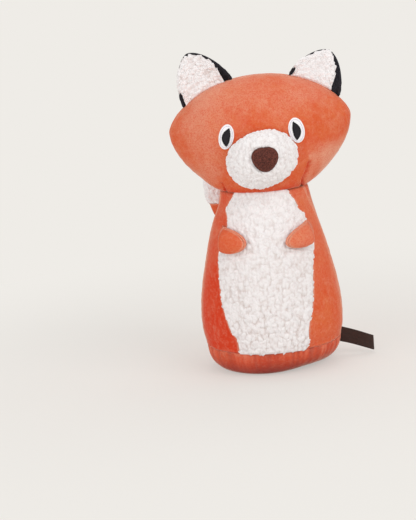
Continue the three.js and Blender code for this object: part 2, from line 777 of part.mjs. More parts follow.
function torso() {
  const group = new THREE.Group();
  group.add(piece('belly_panel', bellyPanel(), materials.whiteFleece));
  group.add(piece('back_panel', backPanel(), materials.orangePlush));
  group.add(piece('base_panel', basePanel(), materials.orangePlush));
  for (const [name, side] of Object.entries(sides)) {
    group.add(piece(`side_panel_${name}`, sidePanel(side), materials.orangePlush));
  }
  group.add(piece('body_stuffing', bodyStuffing(), materials.filling));
  group.add(piece('squeaker_bladder', squeakerBladder(), materials.plastic));
  group.add(piece('squeaker_reed', squeakerReed(), materials.plastic));
  return group;
}

function head() {
  const group = new THREE.Group();
  group.add(piece('head_front_panel', headPanel(1), materials.orangePlush));
  group.add(piece('head_back_panel', headPanel(-1), materials.orangePlush));
  group.add(piece('head_stuffing', headStuffing(), materials.filling));
  group.add(piece('muzzle_cover', muzzleCover(), materials.whiteFleece));
  group.add(piece('muzzle_filling', muzzleFilling(), materials.filling));
  group.add(piece('nose_patch', nosePatch(), materials.brownThread));
  for (const [name, side] of Object.entries(sides)) {
    group.add(piece(`eye_white_${name}`, eyeWhite(side), materials.whiteThread));
    group.add(piece(`eye_pupil_${name}`, eyePupil(side), materials.blackThread));
    group.add(piece(`ear_front_${name}`, earFront(side), materials.whiteFleece));
    group.add(piece(`ear_back_${name}`, earBack(side), materials.blackPlush));
  }
  return group;
}

function paw(name, side) {
  const group = new THREE.Group();
  group.add(piece(`paw_front_${name}`, pawFront(side), materials.orangePlush));
  group.add(piece(`paw_back_${name}`, pawBack(side), materials.orangePlush));
  group.add(piece(`paw_stuffing_${name}`, pawStuffing(side), materials.filling));
  return group;
}

function tail() {
  const group = new THREE.Group();
  group.add(piece('tail_cover', tailCover(), materials.orangePlush));
  group.add(piece('tail_tip', tailTip(), materials.whiteFleece));
  group.add(piece('tail_stuffing', tailStuffing(), materials.filling));
  return group;
}

const fox = new THREE.Group();
fox.add(torso(), piece('neck_stuffing', neckBall(), materials.filling), head(), tail());
fox.add(piece('woven_label', wovenLabel(), materials.ribbon));
for (const [name, side] of Object.entries(sides)) fox.add(paw(name, side));

// Where the soft seams bend, and how far, in degrees.
const neckHinge = (axis) => ({ at: new THREE.Vector3(0, 0, shoulderHeight), axis });
fox.userData.joints = {
  head_turn: { ...neckHinge(new THREE.Vector3(0, 0, 1)), range: [-neckTurn, neckTurn] },
  head_nod: { ...neckHinge(new THREE.Vector3(1, 0, 0)), range: [-neckNod, neckNod] },
  ear_fold_left: { ...earHinge(1), range: [-earFoldBack, earFoldForward] },
  ear_fold_right: { ...earHinge(-1), range: [-earFoldBack, earFoldForward] },
  paw_lift_left: { ...pawHinge(1), range: [0, pawLift] },
  paw_lift_right: { ...pawHinge(-1), range: [-pawLift, 0] },
  label_flap: { ...labelHinge(), range: [-labelFlap, labelFlap] },
  tail_wag: { ...tailHinge(), range: [-tailWag, tailWag] },
};

export default fox;
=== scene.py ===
# Looks of the plush fox: sewn plush panels over fibre fill, curly fleece on belly, muzzle, ears and tail
# tip, satin stitched eyes and nose, and a woven ribbon in the side seam. Shapes are worked out in
# millimetres in the CAD part's frame, and become metres when a piece's mesh is laid.
import math

import bpy
import numpy as np
from mathutils import Matrix, Vector


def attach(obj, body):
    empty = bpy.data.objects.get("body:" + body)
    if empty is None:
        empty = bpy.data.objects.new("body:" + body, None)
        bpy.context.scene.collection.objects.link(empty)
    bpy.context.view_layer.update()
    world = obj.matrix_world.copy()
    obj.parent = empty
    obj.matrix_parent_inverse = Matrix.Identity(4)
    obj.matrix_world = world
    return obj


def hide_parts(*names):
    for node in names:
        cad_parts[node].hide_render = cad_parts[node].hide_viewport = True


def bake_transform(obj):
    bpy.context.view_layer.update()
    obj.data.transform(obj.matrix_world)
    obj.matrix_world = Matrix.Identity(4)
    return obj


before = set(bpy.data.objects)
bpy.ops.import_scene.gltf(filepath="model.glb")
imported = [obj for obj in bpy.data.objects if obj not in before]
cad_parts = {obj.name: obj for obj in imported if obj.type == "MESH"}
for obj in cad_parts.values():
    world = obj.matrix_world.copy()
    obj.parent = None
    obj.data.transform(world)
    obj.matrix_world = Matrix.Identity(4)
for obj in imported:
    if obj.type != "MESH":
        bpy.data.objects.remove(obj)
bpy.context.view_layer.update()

MM = 0.001

# Fabrics, in millimetres: the covers, the fleece's pile, the clearance between pieces and embroidery
COVER = 1.6
PILE = 2.4
GAP = 0.3
THREAD = 0.9

# Body
BODY_WIDTH = 117.8
BODY_DEPTH = 106.0
SHOULDER_HEIGHT = 146.0
BASE_SEAM_HEIGHT = 21.0
# The size of the flat underside, as a share of the seam round the base.
REST_SHARE = 0.72
NECK_RADIUS = 36.2
SHOULDER_RADIUS = NECK_RADIUS + 1.8
# The body's cloth goes on above the shoulders as a collar, hidden by the head.
COLLAR_HEIGHT = 5.2
COLLAR_RADIUS = NECK_RADIUS + 0.3
COLLAR_SHARE = COLLAR_HEIGHT / (SHOULDER_HEIGHT - BASE_SEAM_HEIGHT)
# How full the body is between shoulders (0) and its widest place (1), by share of its height.
BODY_FULLNESS_SHARES = [
    (0, 0.86), (0.09, 0.965), (0.2, 1), (0.32, 0.94), (0.44, 0.82), (0.56, 0.66),
    (0.68, 0.49), (0.8, 0.29), (0.92, 0.085), (1, 0),
]
# Seams up the body, in degrees round from the front by share of its height: where the fleece is sewn in,
# and the side seams.
BELLY_SEAM_DEGREES = {
    1: [
        (0, 26.5), (0.04, 28.5), (0.12, 28.5), (0.18, 29.6), (0.25, 32.6), (0.32, 35), (0.4, 37.5),
        (0.48, 40), (0.59, 44.8), (0.67, 50.5), (0.76, 51), (0.83, 49.2), (0.87, 47), (0.905, 41.5),
        (0.94, 40), (0.97, 38), (1, 33.5), (1.04, 29),
    ],
    -1: [
        (0, 30), (0.1, 30), (0.14, 34), (0.2, 36.8), (0.3, 41.4), (0.4, 44.4), (0.5, 47.8), (0.6, 50.8),
        (0.66, 51.5), (0.73, 48.5), (0.8, 44.5), (0.84, 44.2), (0.88, 47.2), (0.92, 52.2), (0.96, 50.5),
        (1, 44.5), (1.04, 40),
    ],
}
SIDE_SEAM_DEGREES = {
    1: [
        (0, 98), (0.05, 97), (0.16, 90), (0.28, 87), (0.5, 86), (0.7, 83), (0.85, 77), (0.94, 71), (1.04, 63),
    ],
    -1: [(0, 91), (0.3, 87), (0.6, 87), (0.85, 82), (1, 76), (1.04, 75)],
}
# Over this uppermost share of its height, the body is drawn in to a neck that sits a little to the left.
NECK_SHARE = 0.22
NECK_ASIDE = 1.2

# Head
HEAD_WIDTH = 148.8
HEAD_DEPTH = 98.0
JAW_HEIGHT = 53.3
CROWN_HEIGHT = 39.2
FACE_HEIGHT = JAW_HEIGHT + CROWN_HEIGHT
RIM_HEIGHT = SHOULDER_HEIGHT + 4.2
RIM_RADIUS = NECK_RADIUS + 0.6
CHEEK_HEIGHT = RIM_HEIGHT + JAW_HEIGHT
JAW_ROUNDNESS = 0.885
CHIN_ROUNDNESS = 0.6
CROWN_ROUNDNESS = 1.48
FOREHEAD_ROUNDNESS = 1.8
CHEEK_PINCH = 0.36
# How the head sits on the soft neck: pushed to its left, turned and rolled by degrees.
HEAD_ASIDE = 3.7
HEAD_TURN = 0.7
HEAD_ROLL = 1.7

# Camera, as the picture shows the fox: 416 by 520 pixels, turned a little anticlockwise
FRAME_WIDTH = 416
FRAME_HEIGHT = 520
PIXEL = 0.83 * MM
CAMERA_DISTANCE = 1.3
CAMERA_RISE = math.radians(10)
CAMERA_ROLL = math.radians(4.5)
CHEST_HEIGHT = 130 * MM
CHEST_PIXEL = (264.0, 210.3)

BACKDROP = (0.863, 0.839, 0.799)

# Tables that differ by side have the fox's left under 1, towards +X, and its right under -1.
SIDES = {1: "left", -1: "right"}


# Arithmetic on surfaces

# Noise is read from a table this many cells wide, over and over, and so far out that no place is negative.
NOISE_CELLS = 24
NOISE_START = 997


def through(rows, place):
    """A smooth curve through rows of (place, value), read at an array of places."""
    xs, ys = (np.array(column, float) for column in zip(*rows))
    place = np.clip(place, xs[0], xs[-1])
    row = np.arange(len(xs))
    before, after = np.maximum(row - 1, 0), np.minimum(row + 1, len(xs) - 1)
    slopes = (ys[after] - ys[before]) / (xs[after] - xs[before])
    i = np.clip(np.searchsorted(xs, place, side="right") - 1, 0, len(xs) - 2)
    run = xs[i + 1] - xs[i]
    s = (place - xs[i]) / run
    start = ys[i] * (2 * s**3 - 3 * s**2 + 1) + slopes[i] * run * (s**3 - 2 * s**2 + s)
    end = ys[i + 1] * (3 * s**2 - 2 * s**3) + slopes[i + 1] * run * (s**3 - s**2)
    return start + end


def points_at(x, y, z):
    return np.stack([x, y, z], axis=-1)


def moved(points, way, distance):
    """Points moved their own distances along their own directions."""
    return points + way * distance[..., None]


def mix(low, high, share):
    return low + (high - low) * share


def clamped(value):
    return np.clip(value, 0, 1)


def ease(share):
    """Goes smoothly from 0 to 1 as the share does."""
    share = clamped(share)
    return share * share * (3 - 2 * share)


def levelled(share):
    """Goes from 0 to 1 as the share does, level at the end as a dome is at its top."""
    return np.sin(share * np.pi / 2)


def close_at_ends(share):
    """Goes from 0 to 1 as the share does, slowly at both ends, so that a grid is finer there."""
    return (1 - np.cos(share * np.pi)) / 2


def hump(distance, width):
    """1 where the distance is 0, falling smoothly away over about the width."""
    return np.exp(-((distance / width) ** 2))


def ripple(points, size, seed):
    """Smooth noise from -1 to 1 that changes over about size millimetres."""
    table = np.random.default_rng(seed).uniform(-1, 1, (NOISE_CELLS,) * 3)
    scaled = points / size + NOISE_START
    cell = np.floor(scaled).astype(int)
    f = ease(scaled - cell)
    total = 0
    for corner in np.ndindex(2, 2, 2):
        weight = np.prod(np.where(np.array(corner) == 1, f, 1 - f), axis=-1)
        i = (cell + np.array(corner)) % NOISE_CELLS
        total = total + weight * table[i[..., 0], i[..., 1], i[..., 2]]
    return total


def swirls(points, size, seed):
    """Smooth noise in each of the three directions."""
    return np.stack([ripple(points, size, seed + k) for k in range(3)], axis=-1)


def knots(points, size, seed):
    """Rounded lumps of about size millimetres: 0 between them and about 1 on their crowns."""
    margin, reach = 0.15, 0.85
    table = np.random.default_rng(seed).uniform(0, 1, (NOISE_CELLS,) * 3 + (4,))
    scaled = points / size + NOISE_START
    cell = np.floor(scaled).astype(int)
    nearest = np.full(points.shape[:-1], 9.0)
    height = np.zeros(points.shape[:-1])
    for corner in np.ndindex(3, 3, 3):
        at = cell + np.array(corner) - 1
        i = at % NOISE_CELLS
        seedling = table[i[..., 0], i[..., 1], i[..., 2]]
        within = (1 - 2 * margin) * seedling[..., :3]
        distance = np.linalg.norm(scaled - at - margin - within, axis=-1)
        closer = distance < nearest
        nearest = np.where(closer, distance, nearest)
        height = np.where(closer, seedling[..., 3], height)
    return clamped(1 - (nearest / reach) ** 2) * mix(0.7, 1.25, height)


def normals_of(points, wraps=False):
    """Outward unit normals of a grid of points, rows by columns."""
    wide = np.concatenate([points[:, -2:-1], points, points[:, 1:2]], axis=1) if wraps else points
    across = np.gradient(wide, axis=1)
    along = np.gradient(wide, axis=0)
    if wraps:
        across, along = across[:, 1:-1], along[:, 1:-1]
    normal = np.cross(across, along)
    length = np.linalg.norm(normal, axis=-1, keepdims=True)
    thin = length[..., 0] < 1e-4 * length.max()
    normal = normal / np.maximum(length, 1e-12)
    for row in (0, -1):
        if thin[row].any():
            steady = normal[1 if row == 0 else -2].mean(0)
            normal[row] = steady / np.linalg.norm(steady)
    return normal


def to_edges(points, edges="left right low high"):
    """How far each point of a grid is, along its row or column, from the nearest of these edges."""
    def run(axis):
        steps = np.linalg.norm(np.diff(points, axis=axis), axis=-1)
        return np.insert(np.cumsum(steps, axis=axis), 0, 0, axis=axis)
    across, along = run(1), run(0)
    away = {"left": across, "right": across[:, -1:] - across, "low": along, "high": along[-1:] - along}
    return np.minimum.reduce([away[edge] for edge in edges.split()])


def outwards_of(points, edge):
    """Unit directions along a grid's surface, straight off its nearest edge."""
    across, along = np.gradient(points, axis=1), np.gradient(points, axis=0)
    over, up = np.gradient(edge, axis=1), np.gradient(edge, axis=0)
    way = (
        across * (over / ((across**2).sum(-1) + 1e-4))[..., None]
        + along * (up / ((along**2).sum(-1) + 1e-4))[..., None])
    way = -way / np.maximum(np.linalg.norm(way, axis=-1, keepdims=True), 1e-6)
    if np.allclose(points[:, 0], points[:, -1], atol=1e-6):
        way[:, -1] = way[:, 0]
    return way


def rolled(distance, radius):
    """The drop of an edge that is rolled in over a radius: 1 at the edge, 0 past the radius."""
    return 1 - np.sqrt(clamped(1 - (1 - clamped(distance / radius)) ** 2))


# Laying cloth

def added(name, data):
    """A new object in the scene."""
    thing = bpy.data.objects.new(name, data)
    bpy.context.scene.collection.objects.link(thing)
    return thing


def corners(piece, what):
    """The places, "co", or the normals, "normal", of a mesh's corners."""
    values = np.zeros(len(piece.data.vertices) * 3)
    piece.data.vertices.foreach_get(what, values)
    return values.reshape(-1, 3)


def closed(piece, reach, turn_over=False):
    """Joins corners of a mesh that lie within this reach, in millimetres."""
    bpy.context.view_layer.objects.active = piece
    bpy.ops.object.mode_set(mode="EDIT")
    bpy.ops.mesh.select_all(action="SELECT")
    bpy.ops.mesh.remove_doubles(threshold=reach * MM)
    if turn_over:
        bpy.ops.mesh.flip_normals()
    bpy.ops.object.mode_set(mode="OBJECT")


def cloth_grid(name, columns, rows):
    """A flat grid from edit mode's primitives, with the share across and along of each of its corners."""
    bpy.ops.object.select_all(action="DESELECT")
    bpy.ops.mesh.primitive_grid_add(x_subdivisions=columns, y_subdivisions=rows, size=2)
    piece = bpy.context.active_object
    piece.name = piece.data.name = f"sewn_{name}"
    flat = corners(piece, "co").reshape(rows + 1, columns + 1, 3)
    return piece, (flat[..., 0] + 1) / 2, (flat[..., 1] + 1) / 2


def lay(piece, points, turn_over=False, **marks):
    """Puts a grid's corners at these points, in millimetres, and closes what meets.

    Marks are numbers from 0 to 1 at each corner that the materials read."""
    piece.data.vertices.foreach_set("co", (points * MM).ravel())
    for name, values in marks.items():
        mark = piece.data.attributes.new(name, "FLOAT", "POINT")
        at_corners = np.ascontiguousarray(np.broadcast_to(values, points.shape[:2]))
        mark.data.foreach_set("value", at_corners.ravel())
    piece.data.update()
    closed(piece, 0.01, turn_over)
    bpy.ops.object.shade_smooth()
    return piece


def thickened(piece, thickness):
    """Gives a sheet a back, this many millimetres behind its face."""
    bpy.context.view_layer.objects.active = piece
    solid = piece.modifiers.new("thickness", "SOLIDIFY")
    solid.thickness = thickness * MM
    solid.offset = -1
    bpy.ops.object.modifier_apply(modifier=solid.name)
    return piece


def pillow(name, columns, rows):
    """A grid for a closed pillow: shares across and along, and 1 on its front and -1 on its back."""
    piece, u, w = cloth_grid(name, columns, 2 * rows)
    return piece, u, 1 - np.abs(2 * w - 1), np.where(w <= 0.5, 1.0, -1.0)


def finished(piece, name, body, slot):
    """Dresses a piece, puts it in the place of the CAD node of this name and lets it ride on a body.

    A piece that is given no body here is attached to none."""
    piece.data.materials.clear()
    piece.data.materials.append(MATERIALS[slot])
    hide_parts(name)
    if body:
        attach(piece, body)
    return piece


# Shader values and recipes

class Tint:
    """An output of a material's node. Arithmetic on it adds Math nodes."""

    def __init__(self, recipe, socket):
        self.recipe = recipe
        self.socket = socket

    def _maths(self, operation, first, second=0.0):
        return self.recipe.node("ShaderNodeMath", {"operation": operation}, {0: first, 1: second})

    def __add__(self, other):
        return self._maths("ADD", self, other)

    __radd__ = __add__

    def __mul__(self, other):
        return self._maths("MULTIPLY", self, other)

    __rmul__ = __mul__


class Recipe:
    """A material and the nodes that it is made of."""

    def __init__(self, name, **constants):
        self.material = bpy.data.materials.new(name)
        self.material.use_nodes = True
        self.tree = self.material.node_tree
        self.shader = self.tree.nodes["Principled BSDF"]
        for socket, value in constants.items():
            self.shader.inputs[socket.replace("_", " ")].default_value = value
        self.place = self.node("ShaderNodeTexCoord", {}, {}, "Object")
        self.surface = Tint(self, self.shader.outputs[0])

    def node(self, kind, settings, inputs, output=0):
        """Adds a node, with its settings first, and gives one of its outputs."""
        made = self.tree.nodes.new(kind)
        for name, value in settings.items():
            if name == "stops":
                ramp = made.color_ramp
                while len(ramp.elements) < len(value):
                    ramp.elements.new(0.5)
                for element, (position, colour) in zip(ramp.elements, value):
                    element.position = position
                    element.color = (*colour, 1)
            else:
                setattr(made, name, value)
        for name, value in inputs.items():
            if isinstance(value, Tint):
                self.tree.links.new(value.socket, made.inputs[name])
            elif isinstance(value, tuple) and made.inputs[name].type == "RGBA":
                made.inputs[name].default_value = (*value, 1)
            else:
                made.inputs[name].default_value = value
        return Tint(self, made.outputs[output])

    def mark(self, name):
        """A number that the mesh carries at its corners."""
        return self.node("ShaderNodeAttribute", {"attribute_name": name}, {}, "Fac")

    def noise(self, size, detail=2.0, roughness=0.5, distortion=0.0):
        """Cloudy noise whose patches are about size metres across."""
        return self.node("ShaderNodeTexNoise", {}, {
            "Vector": self.place, "Scale": 1 / size, "Detail": detail, "Roughness": roughness,
            "Distortion": distortion})

    def blend(self, first, second, share):
        """One colour going over to another."""
        return self.node("ShaderNodeMix", {"data_type": "RGBA"}, {0: share, 6: first, 7: second}, 2)

    def ramp(self, share, *stops):
        """A level that follows the share through these stops of (share, level)."""
        greys = [(position, (level,) * 3) for position, level in stops]
        return self.node("ShaderNodeValToRGB", {"stops": greys}, {0: share})

    def feed(self, socket, value):
        self.tree.links.new(value.socket, self.shader.inputs[socket])

    def made(self, colour, height, depth, strength):
        """The material, with this colour and with relief of this depth in metres."""
        self.feed("Base Color", colour)
        self.feed("Normal", self.node(
            "ShaderNodeBump", {}, {"Height": height, "Distance": depth, "Strength": strength}))
        return self.material


def plush(name, colour, deep, pale, sheen, painted_shade_colour=(0, 0, 0)):
    """Short dense pile: its tone changes in random patches and with the way it is brushed. Painted on it are
    shade by the deep mark (partly the pile brushed down), paler light and highlights along seams by the pale
    highlight mark, and shade in creases and underneath.
    """
    cloth = Recipe(
        name, Roughness=0.85, Sheen_Weight=0.9, Sheen_Roughness=0.25, Sheen_Tint=(*sheen, 1),
        Specular_IOR_Level=0.1)
    brushed = cloth.noise(0.026, 3, 0.6, 0.8)
    mottled = cloth.noise(0.0035, 3, 0.7)
    fine = cloth.noise(0.0012, 2, 0.6, 0.5)
    # Painted shade, partly the pile brushed down, by the deep mark.
    base = cloth.blend(colour, deep, cloth.mark("deep") * 0.9)
    base = cloth.blend(base, deep, cloth.ramp(brushed, (0.4, 0.35), (0.66, 0)))
    # Painted light and painted highlights along seams, with some random paler patches.
    base = cloth.blend(base, pale, cloth.mark("parted") * 0.85)
    base = cloth.blend(base, pale, cloth.ramp(mottled, (0.46, 0), (0.72, 0.28)))
    base = cloth.blend(base, deep, cloth.ramp(fine, (0.32, 0.5), (0.56, 0)))
    # Painted shade in creases and on the underside.
    base = cloth.blend(base, painted_shade_colour, cloth.mark("creased") * 0.9)
    return cloth.made(base, fine * 0.6 + mottled * 0.9, 0.0006, 0.6)


def fleece():
    """White curly fleece, with warm painted shade in the hollows between its curls."""
    cloth = Recipe(
        "white_fleece", Roughness=0.95, Sheen_Weight=0.2, Sheen_Roughness=0.5, Sheen_Tint=(1, 0.97, 0.96, 1),
        Specular_IOR_Level=0.1)
    curls = cloth.noise(0.0036, 3, 0.6, 1.2)
    strands = cloth.noise(0.0011, 3, 0.7, 2.0)
    # Paler and greyer patches about a curl across, not tied to the mesh's curls: random tone, and in part
    # painted shade.
    base = cloth.blend((0.85, 0.79, 0.79), (0.935, 0.91, 0.915), cloth.ramp(curls, (0.3, 0), (0.52, 1)))
    # Painted shade, warm grey, in the hollows between curls, by the mesh's mark of its hollows.
    shaded = cloth.mark("hollow") * cloth.ramp(strands, (0.3, 0.75), (0.7, 0.25))
    base = cloth.blend(base, (0.6, 0.49, 0.45), shaded)
    return cloth.made(base, strands * 0.8 + curls, 0.0008, 0.6)


def stitched(name, colour, shade, line, relief=0.8):
    """Satin stitch: close parallel threads, with a line where the border meets the middle."""
    thread_pitch = 0.42
    cloth = Recipe(name, Roughness=0.6, Specular_IOR_Level=0.22)
    turns = cloth.mark("thread") * (2 * math.pi / thread_pitch)
    threads = cloth.node("ShaderNodeMath", {"operation": "SINE"}, {0: turns}) * 0.5 + 0.5
    flecks = cloth.noise(0.0011, 3, 0.7)
    tone = cloth.blend(shade, colour, threads * 0.3 + cloth.ramp(flecks, (0.42, 0), (0.62, 0.7)))
    base = cloth.blend(tone, line, cloth.mark("groove") * 0.8)
    return cloth.made(base, threads * 0.6 + flecks, 0.0003, relief)


def ribbon():
    """Woven tape, with weft ribs across it."""
    cloth = Recipe("woven_ribbon", Roughness=0.7, Specular_IOR_Level=0.3, Sheen_Weight=0.15)
    weft, warp = (
        cloth.node("ShaderNodeTexWave", {"wave_type": "BANDS", "bands_direction": direction}, {
            "Vector": cloth.place, "Scale": scale, "Distortion": 0.6})
        for direction, scale in (("X", 420.0), ("Z", 300.0)))
    base = cloth.blend((0.02, 0.01, 0.008), (0.075, 0.032, 0.022), weft * 0.6 + warp * 0.4)
    return cloth.made(base, weft + warp, 0.0003, 0.8)


def fibre_fill():
    """Loose white polyester fibre."""
    cloth = Recipe("fibre_fill", Roughness=1.0, Sheen_Weight=0.2)
    wisps = cloth.noise(0.004, 4, 0.7, 3.0)
    return cloth.made(cloth.blend((0.75, 0.75, 0.72), (0.93, 0.93, 0.91), wisps), wisps, 0.002, 0.8)


def squeaker_plastic():
    """Thin moulded plastic, slightly milky."""
    shell = Recipe("squeaker_plastic", Roughness=0.4, Specular_IOR_Level=0.5)
    clouds = shell.noise(0.008, 2)
    return shell.made(shell.blend((0.76, 0.74, 0.69), (0.84, 0.82, 0.77), clouds), clouds, 0.0002, 0.4)


# What the pieces are made of, by slot.
MATERIALS = {
    # Deep colours serve darker nap and painted shade; pale colours serve random paler mottling and painted
    # light and highlights; the painted shade colour is for creases and the underside.
    "orange_plush": plush(
        "orange_plush", colour=(0.705, 0.16, 0.056), deep=(0.66, 0.042, 0.013), pale=(0.79, 0.375, 0.25),
        sheen=(1, 0.74, 0.6), painted_shade_colour=(0.23, 0.05, 0.05)),
    "black_plush": plush(
        "black_plush", colour=(0.026, 0.024, 0.03), deep=(0.008, 0.008, 0.01), pale=(0.07, 0.065, 0.078),
        sheen=(0.6, 0.58, 0.68)),
    "white_fleece": fleece(),
    "white_thread": stitched(
        "white_stitch", colour=(0.985, 0.98, 0.99), shade=(0.95, 0.94, 0.965), line=(0.52, 0.45, 0.66),
        relief=0.3),
    "black_thread": stitched(
        "black_stitch", colour=(0.024, 0.021, 0.028), shade=(0.012, 0.01, 0.014), line=(0.008, 0.007, 0.01)),
    "brown_thread": stitched(
        "brown_stitch", colour=(0.215, 0.056, 0.037), shade=(0.035, 0.008, 0.006), line=(0.2, 0.055, 0.037)),
    "ribbon": ribbon(),
    "filling": fibre_fill(),
    "squeaker_plastic": squeaker_plastic(),
}


# Body

def body_ring(share):
    """Half the width and half the depth of the body at a share of its height."""
    fullness = through(BODY_FULLNESS_SHARES, share)
    return mix(SHOULDER_RADIUS, BODY_WIDTH / 2, fullness), mix(SHOULDER_RADIUS, BODY_DEPTH / 2, fullness)


def body_points(angle, share):
    """Points on the body's cover, an angle round from the front. Past 1 the share goes up the collar."""
    across, along = body_ring(share)
    lift = clamped((share - 1) / COLLAR_SHARE)
    collar = mix(SHOULDER_RADIUS, COLLAR_RADIUS, lift**2)
    above = share > 1
    across, along = np.where(above, collar, across), np.where(above, collar, along)
    drawn_in = NECK_ASIDE * ease((share - (1 - NECK_SHARE)) / NECK_SHARE)
    across, along = across - drawn_in, along - drawn_in
    height = mix(BASE_SEAM_HEIGHT, SHOULDER_HEIGHT, share)
    return points_at(across * np.sin(angle) + drawn_in, -along * np.cos(angle), height)


def seam(degrees, side, turned=0):
    """The angle of a seam round the body, as a function of its share of the height."""
    return lambda share: turned + side * np.radians(through(degrees[side], share))


def puckers(points, edge, seed):
    """Small pulls of the thread along a seam."""
    return 0.35 * np.exp(-edge / 3.5) * ripple(points, 3.2, seed)


def plush_rise(points, edge, seed, roll=1.2):
    """Relief of a stuffed plush panel: rolled edges, thread pulls and soft lumps of filling."""
    lumps = 0.7 * ripple(points, 34, seed) + 0.25 * ripple(points, 11, seed + 1)
    ridge = 0.3 * hump(edge - 1.6, 1.1)
    return lumps * ease(edge / 12) + puckers(points, edge, seed + 2) + ridge - roll * rolled(edge, 1.8)


def parted(edge):
    """A painted highlight along a seam, just in from its edge."""
    return hump(edge - 1.2, 0.9)


CURL_SIZE = 3.1
CURL_HEIGHT = 1.45
STRAND_SIZE = 1.2
STRAND_HEIGHT = 0.25
SHORTEST_TUFT = 0.5


def between_curls(curls, strands):
    """1 in the hollows between curls."""
    return clamped(1 - 1.6 * curls - 0.3 * strands)


def fleece_relief(points, normal, edge, seed, drop=0.0, ragged=1.0):
    """Curly fleece on this ground: points on its curls, which spill over its edge, and its hollows.

    The pile sinks by the drop at the edge, and a ragged edge has longer tufts."""
    drawn = points * (1, 1, 0.72) + 1.3 * swirls(points, 2.8, seed)
    curls = knots(drawn, CURL_SIZE, seed + 5)
    strands = ripple(drawn * (1.2, 1, 0.6), STRAND_SIZE, seed + 7)
    full = 1 - rolled(edge, 2.0)
    standing = PILE - 1.3 + CURL_HEIGHT * curls + STRAND_HEIGHT * strands
    rise = full * standing + (0.4 - drop) * (1 - full)
    tufts = 0.2 + ragged * (1.3 * ripple(points, 2.4, seed + 9) + 1.3 * ripple(points, 1.2, seed + 10))
    tufts = np.maximum(tufts, SHORTEST_TUFT)
    points = moved(moved(points, normal, rise), outwards_of(points, edge), tufts * np.exp(-edge / 1.8))
    return points, between_curls(curls, strands)


PLUSH_COLLAR = 1.25
RIM_TUCK = 0.055
# A painted sheen, paler, lies on either side of this angle from the front, where the body's sides turn away.
RIM_SHEEN_DEGREES = 88


def body_ground(name, seams, columns, rows, collar=1.0):
    """A grid between two seams of the body, which runs up this share of the collar under the head."""
    piece, u, v = cloth_grid(name, columns, rows)
    share = v * (1 + COLLAR_SHARE * collar)
    start, stop = seams
    angle = mix(start(share), stop(share), u)
    return piece, body_points(angle, share), angle, share


def belly_panel():
    """Curly fleece, with painted shade in its hollows and across the middle of the belly, and its longest
    tufts at its seams.
    """
    seams = seam(BELLY_SEAM_DEGREES, -1), seam(BELLY_SEAM_DEGREES, 1)
    piece, points, _, share = body_ground("belly_panel", seams, 180, 272)
    points, hollow = fleece_relief(points, normals_of(points), to_edges(points), 11, ragged=1.5)
    # Painted shade: stronger in the hollows low on the belly, and a band across its middle.
    painted_belly_shade = 0.16 * hump(share - 0.4, 0.3)
    hollow = clamped(hollow * mix(1.4, 0.55, share) + painted_belly_shade)
    thickened(lay(piece, points, hollow=hollow), COVER)
    finished(piece, "belly_panel", "torso", "white_fleece")


def plush_panel(name, seams, columns, rows, seed, deep=0.0, painted_light=0.0):
    """A plush panel of the body, its collar drawn in under the head's rim.

    Its tone goes deep by one share, most of all below: painted shade away from the key lamp, partly the pile
    brushed down, and more low down and under the head. By another share, more so above, it is painted paler
    as if in light, with painted highlights at its seams and a painted sheen where its sides turn away."""
    piece, points, angle, share = body_ground(name, seams, columns, rows, PLUSH_COLLAR)
    under_rim = RIM_TUCK * ease((points[..., 2:] - RIM_HEIGHT + 0.6) / 2)
    points = points * (1 - under_rim * (1, 1, 0))
    edge = to_edges(points)
    sides = to_edges(points, "left right")
    roll = mix(0.2, 0.8, ease(edge - sides + 1))
    points = moved(points, normals_of(points), plush_rise(points, edge, seed, roll))
    height = points[..., 2]
    low, under_head = ease((60 - height) / 50), ease((share - 0.93) / 0.06)
    # Painted shade: the deep share, more below, and more low down and under the head.
    deep_and_painted_shade = clamped(deep * mix(1, 0.45, ease((height - 75) / 60)) + 0.25 * low + 0.2 * under_head)
    # Painted light: the given share, more above, painted highlights along the seams, a painted sheen where
    # the sides turn away, and random paler patches.
    beside = np.abs(np.degrees(np.arctan2(np.sin(angle), np.cos(angle)))) - RIM_SHEEN_DEGREES
    pale = painted_light + 0.15 * ease((height - 75) / 50) + 0.2 * parted(edge) + 0.9 * parted(sides)
    pale = pale + 0.26 * hump(beside, 12) + 0.75 * hump(beside + 2, 6) + 0.1 * ripple(points, 8, seed + 6)
    thickened(lay(piece, points, parted=clamped(pale), deep=deep_and_painted_shade), COVER)
    finished(piece, name, "torso", "orange_plush")


# The base: its gathered wall takes up this share of the cloth, and the rest is its flat underside.
BASE_WALL_SHARE = 0.6
WORN_ANGLE = math.radians(44)
WORN_WIDTH = 0.68
TUCK_ANGLE = math.radians(33)
TUCK_RADIUS = 42
GATHER_RADIUS = 40


